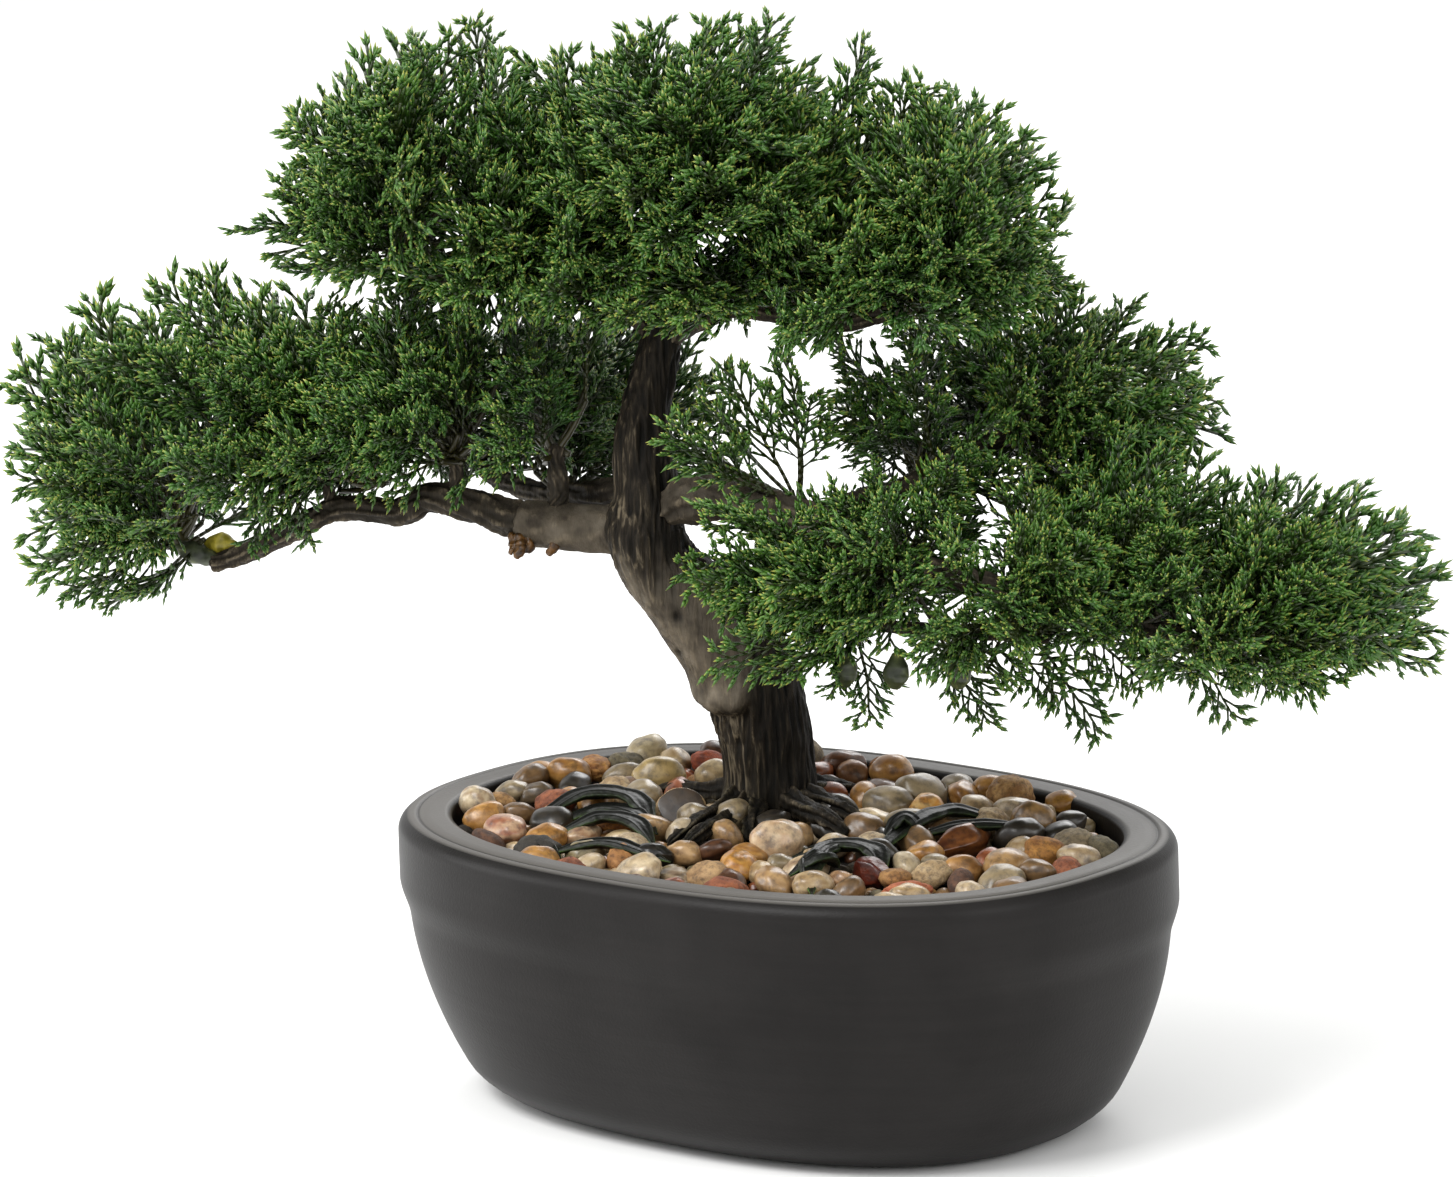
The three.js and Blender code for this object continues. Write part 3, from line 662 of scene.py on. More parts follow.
moss_low = put(tree, "MapRange", inputs={
    "Value": height.outputs[2], "From Min": MOSS_LOW_MM * MM, "From Max": MOSS_TOP_MM * MM,
    "To Min": 0.75, "To Max": 0.0,
})
moss_patch = put(tree, "MapRange", inputs={"Value": mottle, "From Min": 0.42, "From Max": 0.62})
moss = put(tree, "Math", {"operation": "MULTIPLY"}, {0: moss_low, 1: moss_patch})
moss_tone = put(tree, "Mix", {"data_type": "RGBA", "blend_type": "MULTIPLY"}, {
    0: moss, 6: rind.outputs[2], 7: linear("#6f7a3c"),
})
tree.links.new(moss_tone.outputs[2], shader.inputs["Base Color"])
gloss = put(tree, "MapRange", inputs={"Value": threads, "To Min": 0.75, "To Max": 0.5})
tree.links.new(gloss.outputs[0], shader.inputs["Roughness"])
thread_bump = put(tree, "Bump", inputs={"Strength": 0.55, "Distance": 0.0007, "Height": threads})
tree.links.new(thread_bump.outputs[0], shader.inputs["Normal"])
shader.inputs["Specular IOR Level"].default_value = 0.14

TRUNK_ROUTE = [
    [0, 0, -4], [0, 0, 3.5], [-0.2, 0, 12], [-1.4, 0, 18.8], [-2.4, 0, 22.3], [-5.2, 0, 28.6],
    [-7.5, 0, 33.6], [-8.2, 0, 37.3], [-8, 0, 41], [-8.1, 0, 48.4], [-7.7, 0, 53.2],
    [-6.8, 0, 59.3], [-6, 0, 63.4],
]
TRUNK_RADII = [12, 11, 11, 12.6, 12.4, 10.6, 9.4, 9.8, 8.2, 6.8, 5.7, 5, 4.8]
TRUNK_SAMPLES = 320
TRUNK_SIDES = 200
LIP_HEIGHT = 32.5
STEM_FOOT = 120
ROOT_RIDGES = 7
# Small knot holes in the smooth limb: right, back and up in the tree, and size.
PITS = [
    (-21.4, -9.0, 55.5, 1.0), (-21.5, -6.0, 45.4, 0.8), (-12.4, -10.0, 41.0, 0.6), (-25.5, -7.0, 66.0, 0.7),
]


def between(low, high, values):
    """0 below low, 1 above high, and a smooth rise between them."""
    t = np.clip((values - low) / (high - low), 0.0, 1.0)
    return t * t * (3 - 2 * t)


def left_front(angle, up):
    """1 on the trunk's left and front, where the limb lies, 0 on its right and back."""
    turn = np.degrees(angle)
    seam = 172 + 2.0 * np.clip(up - LIP_HEIGHT, 0, 24)
    return between(25, 60, turn) * (1 - between(seam - 14, seam + 10, turn))


def lip_height(angle):
    """Where the limb ends: lower at its middle, and uneven."""
    turn = np.degrees(angle)
    sag = 1.3 * np.exp(-((turn - 135) / 30) ** 2)
    return LIP_HEIGHT - sag + 0.3 * np.sin(turn / 7.0) + 2.4 * between(150, 180, turn)


def swelling(angle, up):
    """1 on the smooth limb that laps over the trunk, and fades where the limb turns ribbed again."""
    over = up - lip_height(angle)
    fading = 1 - between(56, 74, up + 3.0 * np.sin(5 * angle))
    return left_front(angle, up) * between(-1.0, 1.4, over) * fading


def trunk_relief(share, angle, places):
    """The trunk's ribs, the limb's lapping edge, broad lumps, root ridges at the foot, and pits."""
    up = places[:, 2]
    ribs = fibres(places)
    over = up - lip_height(angle)
    lap = 1.5 * np.exp(-((over - 2.0) / 3.4) ** 2) * between(-1.4, 0.8, over)
    lap -= 0.8 * np.exp(-((over + 1.8) / 1.8) ** 2)
    swell = swelling(angle, up)
    lumps = rough(places, 9.0) * 0.6
    foot = np.exp(-np.clip(up - 2.0, 0, None) / 4.0) * (1.8 + 2.4 * np.cos(ROOT_RIDGES * angle + 0.4))
    depth = (0.75 - 0.6 * swell) * (0.6 + 0.4 * (up < STEM_FOOT))
    carved = ribs * depth + lap * left_front(angle, up) + lumps + foot
    for side, behind, height, size in PITS:
        away = np.linalg.norm((places - [side, behind, height]) * [1, 0.35, 0.7], axis=1)
        carved -= 0.9 * size * np.exp(-(away / (1.1 * size)) ** 2)
    return carved


points, faces, _ = limb(in_tree(TRUNK_ROUTE), TRUNK_RADII, TRUNK_SAMPLES, TRUNK_SIDES, trunk_relief)
round_turn = np.linspace(0, 2 * np.pi, TRUNK_SIDES, endpoint=False)
angle_of = np.tile(round_turn, len(points) // TRUNK_SIDES + 1)[:len(points)]
smooth = swelling(angle_of, points[:, 2]) * (0.7 + 0.35 * rough(points * [1, 1, 0.25], 2.6))
smooth *= 1 - 0.45 * between(135, 180, np.degrees(angle_of))
# Painted light and shade: all the trunk's ribs are painted darker, and those on its lit left side paler,
# less so above 84 to 104 mm.
painted_lit_left = between(70, 110, np.degrees(angle_of)) * (1 - between(140, 185, np.degrees(angle_of)))
painted_lit_left *= 1 - 0.7 * between(84, 104, points[:, 2])
ribs = fibres(points) - 0.34 + 0.5 * painted_lit_left
# Painted shade in the knot holes: the ribs go darker there, and the limb's smooth colour gives way to them.
for side, behind, height, size in PITS:
    away = np.linalg.norm((points - [side, behind, height]) * [1, 0.35, 0.7], axis=1)
    smooth *= 1 - np.exp(-(away / (1.4 * size)) ** 2)
    ribs -= 0.8 * np.exp(-(away / (1.4 * size)) ** 2)

# Roots that run out over the stones from the foot, on all sides: routes from the foot, radii.
ROOTS = [
    ([(-7, -4, 10), (-12, -12, 8), (-18, -22, 7.2), (-24.5, -31, 4.5)], (3.4, 2.2, 1.9, 1.0)),
    ([(-5, -7, 8.8), (-10, -17, 7.2), (-16, -28, 6.8), (-22.5, -37, 4)], (3.2, 2.0, 1.8, 0.9)),
    ([(-3, -9, 8), (-4.5, -18, 6.6), (-5.5, -27, 4)], (2.9, 2.0, 1.0)),
    ([(4, -8, 9.4), (8, -16, 8.4), (13, -23, 7.8), (18, -27, 5)], (3.6, 2.4, 2.1, 1.1)),
    ([(7, -5, 10), (13, -9, 8.6), (18, -15, 7.8), (23, -19, 5)], (3.4, 2.2, 1.9, 1.0)),
    ([(8, 4, 9.4), (16, 9, 7.8), (25, 13, 5)], (3.4, 2.1, 1.0)),
    ([(1, 9, 9), (2, 18, 7.6), (-2, 27, 5)], (3.4, 2.1, 1.0)),
    ([(-8, 4, 9.6), (-15, 8, 8), (-24, 13, 7.4), (-31, 17, 5)], (3.4, 2.1, 1.8, 0.9)),
]


def root_relief(share, angle, places):
    """Two or three folds that run along a root, and small lumps."""
    folds = 0.4 * np.cos(4 * angle + 5 * share) + 0.25 * np.cos(7 * angle)
    return folds + 0.5 * rough(places * [1, 1, 1.5], 2.2)


trunk_parts = [(points, faces, ribs, smooth)]
for route, radii in ROOTS:
    root_points, root_faces, folds = limb(route, radii, 70, 48, root_relief)
    trunk_parts.append((root_points, root_faces, folds * 0.9 - 0.1, np.zeros(len(root_points))))
points, faces, ribs, smooth = join(trunk_parts)
# The relief mark holds the trunk's ribs together with their painted light and shade.
marks = {"relief": 0.5 + 0.45 * ribs, "smooth": smooth}
piece("ribbed_trunk", in_pot(points), faces, bark, "bark", "trunk", marks=marks)

# ---------------------------------------------------------------------------------------------
# Branches: mouldings of the same resin, each pushed into a socket in the one before it. A plain
# sleeve joins the left one to the trunk, and short pegs carry the bunches of sprays above it.

# Each one's route, in hundredths of the tree, and its radius at each point of it.
BRANCHES = {
    "left_sleeve": ([[-8.9, 0.5, 37.3], [-11.3, 1.2, 37.2], [-16.4, 3, 37.6]], [6.2, 6, 5.6]),
    "left_branch": ([
        [-15.3, 2.6, 37.4], [-17.4, 3.3, 38.1], [-19.7, 4, 39.3], [-23.2, 5.4, 40.2], [-25.4, 6.3, 38.3],
        [-29.7, 8, 38.4], [-32.6, 9.1, 36], [-37, 10.9, 31.9], [-38.9, 11.4, 30.9],
    ], [4, 4.4, 4.2, 3.4, 3.2, 2.9, 2.7, 2.2, 2]),
    "rear_branch": ([
        [-8.1, 1.8, 42], [-11.3, 4.2, 40.6], [-14.2, 8, 39], [-16.4, 11.4, 38.8], [-18.5, 14.3, 39.2],
        [-20, 16.6, 40.4],
    ], [3.6, 3.4, 3, 2.6, 2.3, 2]),
    "right_branch": ([
        [-7.2, -0.8, 40], [-5, -2.3, 41.6], [-2.9, -4, 42.5], [-0.2, -6.3, 42.2], [3.9, -9.1, 40.5],
        [9.2, -11.4, 36.8], [15.9, -12.6, 33.3], [22.7, -13.1, 30.1], [30.4, -13.4, 25.6],
    ], [3.2, 6, 5.4, 4.6, 4.2, 3.6, 3, 2.6, 2.2]),
    "right_rising_branch": ([
        [2.5, -8.2, 41], [6, -8, 42.6], [9.5, -6.3, 43.5], [13.7, -3.4, 46.6], [18.7, -1.1, 48.6],
    ], [2.6, 2.6, 2.4, 2.2, 2]),
    "right_low_branch": ([
        [6.4, -10.4, 38.4], [5.9, -13.2, 32.6], [7.6, -15, 30.6], [12.3, -15.4, 29.6], [19, -15, 28.4],
    ], [1.8, 1.8, 1.8, 1.6, 1.4]),
    "crown_left_branch": ([
        [-7.1, 0.4, 61.2], [-9.4, 1.4, 65.1], [-12.2, 2.3, 66.2], [-17, 3.1, 66.8], [-21.6, 4, 68],
        [-24.7, 4.6, 70.4],
    ], [2.6, 2.8, 2.6, 2.4, 2.1, 1.8]),
    "crown_right_branch": ([
        [-5.9, -0.5, 61], [-3.9, -1.6, 63.6], [-1.1, -2.6, 65], [2.9, -3.4, 63.8], [6.4, -4.2, 63.4],
        [11.2, -4.8, 65.4],
    ], [2.4, 2.8, 2.6, 2.5, 2.2, 1.8]),
    "crown_top_branch": ([[-6, 0, 62.2], [-5.3, 0.4, 67.4], [-4.2, 0.6, 77]], [2.4, 2.8, 2]),
    "left_peg": ([[-14.2, 2.2, 38.6], [-14.2, 2.2, 42], [-14.2, 2.2, 47]], [2.4, 2.6, 2]),
    "middle_peg": ([[-21.4, 4.7, 39.8], [-21.3, 4.7, 43], [-21.2, 4.7, 46]], [1.6, 1.8, 1.5]),
    "outer_peg": ([[-30.2, 8.2, 37.8], [-30.5, 8.2, 41], [-30.8, 8.2, 44]], [1.4, 1.6, 1.3]),
}


def branch_relief(depth):
    """Relief of a branch: ribs that follow its length, knots and hollows."""
    def relief(share, angle, places):
        drift = angle + 0.6 * math.sin(share * 9)
        ribs = np.cos(7 * drift + 2.2 * math.sin(share * 14)) * 0.5 + np.cos(11 * drift - 3 * share) * 0.3
        knots = 0.9 * rough(places, 3.2) + 0.7 * rough(places, 8.0) + 0.5 * rough(places, 1.2)
        return depth * (ribs + knots)
    return relief


BRANCH_WEAR = {"left_sleeve": 0.55, "right_branch": 0.25}
for name, (route, radii) in BRANCHES.items():
    samples = 24 * len(route)
    depth = 0.16 if name == "left_sleeve" else 0.13 * max(radii)
    points, faces, relief = limb(in_tree(route), radii, samples, 56, branch_relief(depth))
    worn = np.full(len(points), BRANCH_WEAR.get(name, 0.12))
    marks = {"relief": 0.5 + 0.26 * relief / depth, "smooth": worn}
    piece(f"bark_{name}", in_pot(points), faces, bark, "bark", name, marks=marks)

# ---------------------------------------------------------------------------------------------
# Glue: hot-melt adhesive that squeezed out under the sleeve's joint when the branch was pushed in,
# and set there in ragged tongues.


def lumpy(depth, scale):
    """A limb's relief of plain lumps: how deep, and how far apart."""
    def relief(share, angle, places):
        return depth * rough(places, scale)
    return relief


# Set adhesive is a translucent amber that looks brown and glossy where it is thick.
glue, tree, shader = material("amber hot-melt glue")
place = put(tree, "TexCoord")
GLUE_MM = 2.0
blotch = put(tree, "TexNoise", inputs={
    "Vector": place.outputs["Object"], "Scale": 1000 / GLUE_MM, "Detail": 2.0,
})
glue_tone = put(tree, "ValToRGB", inputs={"Fac": blotch}, ramp=[(0.35, "#2e1d0c"), (0.65, "#6c4a20")])
tree.links.new(glue_tone.outputs[0], shader.inputs["Base Color"])
shader.inputs["Roughness"].default_value = 0.35
# Each tongue's place, right and back in the tree, and how far it hangs below the sleeve.
TONGUES = [(-61, 6, 1.2), (-59.4, 4, 2.0), (-57.6, 5, 0.8), (-51.5, 4, 1.5)]
SLEEVE_UNDERSIDE = 71
tongues = []
for side, behind, drop in TONGUES:
    route = [
        (side, behind + 2, SLEEVE_UNDERSIDE + 2.5),
        (side + 0.4, behind, SLEEVE_UNDERSIDE),
        (side - 0.8, behind - 1, SLEEVE_UNDERSIDE - drop),
    ]
    points, faces, _ = limb(route, [1.3, 1.5, 0.7], 24, 20, lumpy(0.5, 1.2))
    tongues.append((points, faces))
points, faces = join(tongues)
piece("sleeve_glue", in_pot(points), faces, glue, "bark")

# ---------------------------------------------------------------------------------------------
# Plugs: soft green mouldings, pushed on over the left branch's end and hung as bulbs under the
# right one, where sprays would be plugged in.

# Soft moulded plastic with an uneven flow of pigment: a waxy olive with yellow-green bloom.
plug_plastic, tree, shader = material("olive green polyethylene plug")
place = put(tree, "TexCoord")
FLOW_MM = 3.0
flow = put(tree, "TexNoise", inputs={
    "Vector": place.outputs["Object"], "Scale": 1000 / FLOW_MM, "Detail": 3.0,
})
flow_tone = put(tree, "ValToRGB", inputs={"Fac": flow}, ramp=[
    (0.34, "#262c1c"), (0.55, "#40482c"), (0.72, "#6f7444"),
])
tree.links.new(flow_tone.outputs[0], shader.inputs["Base Color"])
flow_bump = put(tree, "Bump", inputs={"Strength": 0.3, "Distance": 0.0005, "Height": flow})
tree.links.new(flow_bump.outputs[0], shader.inputs["Normal"])
shader.inputs["Roughness"].default_value = 0.42

END_ROUTE = [[-38.5, 11.3, 31], [-40.3, 12, 32], [-42.4, 12.6, 33.5]]
points, faces, _ = limb(in_tree(END_ROUTE), [1.4, 2.9, 0.9], 50, 32, lumpy(0.5, 2.0))
piece("plug_left_end", in_pot(points), faces, plug_plastic, "green_plug", "left_end")

# A bead of the same plastic with too little pigment, where the plug was pushed over the branch.
bead_plastic, tree, shader = material("yellow polyethylene bead")
place = put(tree, "TexCoord")
flow = put(tree, "TexNoise", inputs={
    "Vector": place.outputs["Object"], "Scale": 1000 / FLOW_MM, "Detail": 3.0,
})
bead_tone = put(tree, "ValToRGB", inputs={"Fac": flow}, ramp=[(0.35, "#7d7420"), (0.65, "#c2b23c")])
tree.links.new(bead_tone.outputs[0], shader.inputs["Base Color"])
shader.inputs["Roughness"].default_value = 0.4
BEAD_ROUTE = [(-131, 41, 66.2), (-134.5, 42.5, 66.6), (-138, 44, 66.2)]
points, faces, _ = limb(BEAD_ROUTE, [1.4, 3.0, 1.4], 40, 32, lumpy(0.4, 2.0))
piece("plug_left_bead", in_pot(points), faces, bead_plastic, "green_plug")

# The bulbs hang straight down: radii from top to bottom, a step of their height apart.
BULB_RADII = [1.3, 2.0, 2.7, 3.0, 3.1, 2.7, 1.7]
BULB_STEP = 1.2
BULBS = [[5.2, -16.6, 25.4], [8.6, -17.1, 25.2], [12.9, -16.6, 24.8]]
for number, place in enumerate(BULBS, 1):
    middle = in_tree([place])[0]
    drop = [middle + (0.4 - 0.1 * step, 0, 4.6 - BULB_STEP * step) for step in range(len(BULB_RADII))]
    points, faces, _ = limb(drop, BULB_RADII, 40, 32, lumpy(0.4, 2.4))
    piece(f"plug_{number}", in_pot(points), faces, plug_plastic, "green_plug", f"green_plug_{number}")

# ---------------------------------------------------------------------------------------------
# Root strips: flat dark green straps, moulded with pointed ends and a furrow along them, which lie
# over the stones like surface roots.

# Half-glossy moulded plastic, almost black, with green showing on its edges and pointed tips.
strap_plastic, tree, shader = material("dark olive moulded plastic strap")
STRAP_GRAIN_MM = 1.3
place = put(tree, "TexCoord")
relief_mark = put(tree, "Attribute", {"attribute_name": "relief"})
grain = put(tree, "TexNoise", inputs={
    "Vector": place.outputs["Object"], "Scale": 1000 / STRAP_GRAIN_MM, "Detail": 3.0,
})
worn = put(tree, "Math", {"operation": "MULTIPLY_ADD"}, {0: grain, 1: 0.6, 2: -0.3})
edge = put(tree, "Math", {"operation": "ADD"}, {0: relief_mark.outputs["Fac"], 1: worn})
strap_tone = put(tree, "ValToRGB", inputs={"Fac": edge}, ramp=[
    (0.2, "#0a0b07"), (0.5, "#161a0f"), (0.78, "#2b3b19"), (1.0, "#56762e"),
])
tree.links.new(strap_tone.outputs[0], shader.inputs["Base Color"])
grain_bump = put(tree, "Bump", inputs={"Strength": 0.35, "Distance": 0.0005, "Height": grain})
tree.links.new(grain_bump.outputs[0], shader.inputs["Normal"])
shader.inputs["Roughness"].default_value = 0.42
shader.inputs["Specular IOR Level"].default_value = 0.22

STRIP_LIFT = 6.0  # millimetres from the bed to a strap's middle line
STRAP_THICKNESS = 2.4
FURROW = 0.35  # the furrow's depth, as a share of the strap's thickness


def strap(route, width):
    """A pointed strap along a route in the pot, flat side up, with a furrow along its top."""
    samples, sides = 56, 40
    middles, where = smooth_route(np.asarray(route, dtype=float), samples)
    share = where / where[-1]
    along = np.gradient(middles, axis=0)
    along /= np.linalg.norm(along, axis=1)[:, None]
    level = np.cross(along, [0.0, 0.0, 1.0])
    level /= np.linalg.norm(level, axis=1)[:, None]
    upward = np.cross(level, along)
    taper = np.clip(np.minimum(share / 0.3, (1 - share) / 0.3), 0.06, 1.0) ** 0.7
    angle = np.linspace(0, 2 * np.pi, sides, endpoint=False)
    wide = np.cos(angle) * width / 2
    tall = np.sin(angle) * STRAP_THICKNESS / 2 * (1 + 0.3 * np.cos(8 * angle))
    tall -= FURROW * STRAP_THICKNESS * np.exp(-(np.cos(angle) / 0.3) ** 2) * (np.sin(angle) > 0)
    wander = 1 + 0.25 * rough(middles, 4.0)
    rings = middles[:, None] + (taper * wander)[:, None, None] * (
        level[:, None] * wide[None, :, None] + upward[:, None] * tall[None, :, None]
    )
    points, faces = skin(rings)
    relief = np.tile(np.abs(np.cos(angle)) ** 3, samples) * 0.6 + np.repeat(1 - taper, sides) * 0.5
    return points, faces, np.concatenate([relief, [0.8, 0.8]])


def on_bed(places, lift):
    """Places given as shares of the bed, at a height above it, in the pot's millimetres."""
    x, y = np.asarray(places, dtype=float).T * [[BED_HALF_LENGTH], [BED_HALF_WIDTH]]
    return np.stack([x, y, bed_level(x, y) + lift], axis=1)


# Each strip is a few straps side by side: route in shares of the bed, arch and width in millimetres.
STRIPS = [
    [
        ([(-0.63, -0.5), (-0.58, -0.26), (-0.44, -0.18), (-0.3, -0.28)], 3.0, 7.4),
        ([(-0.56, -0.44), (-0.5, -0.3), (-0.38, -0.27), (-0.26, -0.34)], 1.0, 6.0),
        ([(-0.5, -0.56), (-0.42, -0.42), (-0.3, -0.4), (-0.2, -0.46)], 1.8, 6.6),
    ],
    [
        ([(-0.4, -0.78), (-0.26, -0.66), (-0.06, -0.6)], 1.4, 6.0),
        ([(-0.5, -0.7), (-0.44, -0.76), (-0.34, -0.8)], 0.4, 6.0),
    ],
    [
        ([(0.38, -0.12), (0.35, 0.2), (0.38, 0.42), (0.52, 0.52)], 1.8, 6.4),
        ([(0.36, 0.12), (0.46, 0.26), (0.56, 0.38), (0.6, 0.5)], 1.2, 5.4),
        ([(0.3, 0.08), (0.34, 0.16), (0.4, 0.2)], 3.6, 6.4),
    ],
    [
        ([(0.46, -0.64), (0.34, -0.42), (0.3, -0.2), (0.38, -0.04)], 1.4, 6.4),
        ([(0.2, -0.34), (0.3, -0.2), (0.42, -0.18), (0.5, -0.26)], 1.8, 6.8),
        ([(0.3, -0.52), (0.36, -0.4), (0.36, -0.3)], 3.0, 6.0),
    ],
]
for number, straps in enumerate(STRIPS, 1):
    parts = []
    for route, arch, width in straps:
        places = on_bed(route, STRIP_LIFT)
        places[1:-1, 2] += arch
        places[[0, -1], 2] -= 1.5
        parts.append(strap(places, width))
    points, faces, relief = join(parts)
    node = f"root_strip_{number}"
    piece(f"straps_{number}", points, faces, strap_plastic, "root_strips", node, marks={"relief": relief})

# ---------------------------------------------------------------------------------------------
# Cedar sprays: flat fronds injection-moulded in soft polyethylene, each a stem with alternate side
# branches whose short twigs end in forks of pointed bud scales. A bunch of them fills each pad.

# Dyed polyethylene has a waxy half-shine. The scales' ends are left yellow-green, and the stems
# inside are olive brown. The map runs from a spray's stem to its tips, and from the darkest spray
# of a pad to its palest.
cedar, tree, shader = material("dark green polyethylene cedar, yellow-green tips")
spray_map = put(tree, "UVMap", {"uv_map": "OFBake"})
run = put(tree, "SeparateXYZ", inputs={0: spray_map})
to_tip = put(tree, "ValToRGB", inputs={"Fac": run.outputs[0]}, ramp=[
    (0.0, "#3a3220"), (0.25, "#353d1e"), (0.5, "#2b451b"),
    (0.74, "#396428"), (0.86, "#5a8638"), (0.96, "#c6c56a"),
])
cooler = put(tree, "Mix", {"data_type": "RGBA", "blend_type": "MULTIPLY"}, {
    0: 1.0, 6: to_tip, 7: linear("#b2c69c"),
})
warmer = put(tree, "Mix", {"data_type": "RGBA", "blend_type": "MULTIPLY"}, {
    0: 1.0, 6: to_tip, 7: linear("#faeec2"),
})
leaf_tone = put(tree, "Mix", {"data_type": "RGBA"}, {
    0: run.outputs[1], 6: cooler.outputs[2], 7: warmer.outputs[2],
})
tree.links.new(leaf_tone.outputs[2], shader.inputs["Base Color"])
shader.inputs["Roughness"].default_value = 0.37
shader.inputs["IOR"].default_value = 1.51

BUD_LENGTH = 4.5
BUD_WIDTH = 1.4
BUD_THICKNESS = 1.1
TWIG_RADIUS = 0.48
SIDE_SPACING = 3.5
TWIG_SPACING = 4.5
LONGEST_TWIG = 7.8
BARE_STEM = 0.14  # the share of a spray's stem that has no side branches


def spray_pattern(seed, length):
    """One flat spray with its stem along x: points and faces, and their places on the spray map.

    A twig is a row of start, heading, lean, length, radius and map; a bud has its width for a radius.
    """
    draw = random.Random(seed)
    twigs, buds = [], []

    def onward(place, heading, lean, size):
        """Where a step of this size from a place ends."""
        flat = size * math.cos(lean)
        x, y, z = place
        return (x + flat * math.cos(heading), y + flat * math.sin(heading), z + size * math.sin(lean))

    def shoot(start, heading, lean, size, radius, low, high):
        """Adds one twig, and says where it ends."""
        twigs.append((*start, heading, lean, size, radius, low, high))
        return onward(start, heading, lean, size)

    def fork(place, heading, lean, tip):
        """Adds the three scales that end a twig."""
        buds.append((*place, heading, lean, BUD_LENGTH * draw.uniform(0.85, 1.15), 1.0, tip))
        for side in (-1, 1):
            start = onward(place, heading, 0.0, -draw.uniform(0.3, 1.2))
            spread = heading + side * math.radians(draw.uniform(15, 25))
            tilt = lean + draw.uniform(-0.3, 0.3)
            buds.append((*start, spread, tilt, BUD_LENGTH * draw.uniform(0.66, 0.9), 0.9, tip))

    place = (0.0, 0.0, 0.0)
    heading = 0.0
    steps = int(length / SIDE_SPACING)
    for step in range(steps):
        share = step / steps
        radius = 0.68 - 0.26 * share
        place = shoot(place, heading, 0.0, SIDE_SPACING, radius, 0.1 + 0.35 * share, 0.14 + 0.35 * share)
        heading += draw.uniform(-0.06, 0.06) - heading * 0.2
        if share < BARE_STEM:
            continue
        side = 1 if step % 2 else -1
        outline = min((share + 0.02) / 0.22, 1.0) * (1.05 - share) ** 0.7
        reach = length * 0.4 * outline * draw.uniform(0.82, 1.12)
        turn = heading + side * math.radians(draw.uniform(27, 37) - 8 * share)
        lean = draw.uniform(-0.2, 0.2)
        knot = place
        walked = 0.0
        twig_side = side
        while walked < reach:
            stretch = min(TWIG_SPACING * draw.uniform(0.85, 1.15), reach - walked + 0.3)
            done = walked / max(reach, 0.1)
            radius = 0.5 - 0.08 * done
            knot = shoot(knot, turn, lean, stretch, radius, 0.3 + 0.25 * done, 0.38 + 0.25 * done)
            walked += stretch
            turn -= side * 0.07
            if walked < reach:
                twig_length = min(LONGEST_TWIG, 3.2 + 0.5 * (reach - walked)) * draw.uniform(0.8, 1.15)
                twig_turn = turn + twig_side * math.radians(draw.uniform(18, 29))
                twig_lean = lean + draw.uniform(-0.35, 0.35)
                end = shoot(knot, twig_turn, twig_lean, twig_length, TWIG_RADIUS, 0.52, 0.7)
                for part, tooth_side in ((0.3, -1), (0.62, 1)):
                    root = tuple(p + (q - p) * part for p, q in zip(knot, end))
                    tooth_turn = twig_turn + tooth_side * twig_side * math.radians(20)
                    tip = draw.uniform(0.84, 0.94)
                    buds.append((*root, tooth_turn, twig_lean, BUD_LENGTH * 0.7, 0.8, tip))
                fork(end, twig_turn, twig_lean, draw.uniform(0.86, 1.0))
                twig_side = -twig_side
        fork(knot, turn, lean, 1.0)
    fork(place, heading, 0.0, 1.0)
    return spray_mesh(np.array(twigs), np.array(buds))


def axes_of(heading, lean):
    """Unit vectors along, across in the spray's plane, and out of it."""
    along = np.stack([np.cos(heading) * np.cos(lean), np.sin(heading) * np.cos(lean), np.sin(lean)], axis=1)
    across = np.stack([-np.sin(heading), np.cos(heading), np.zeros(len(heading))], axis=1)
    return along, across, np.cross(along, across)


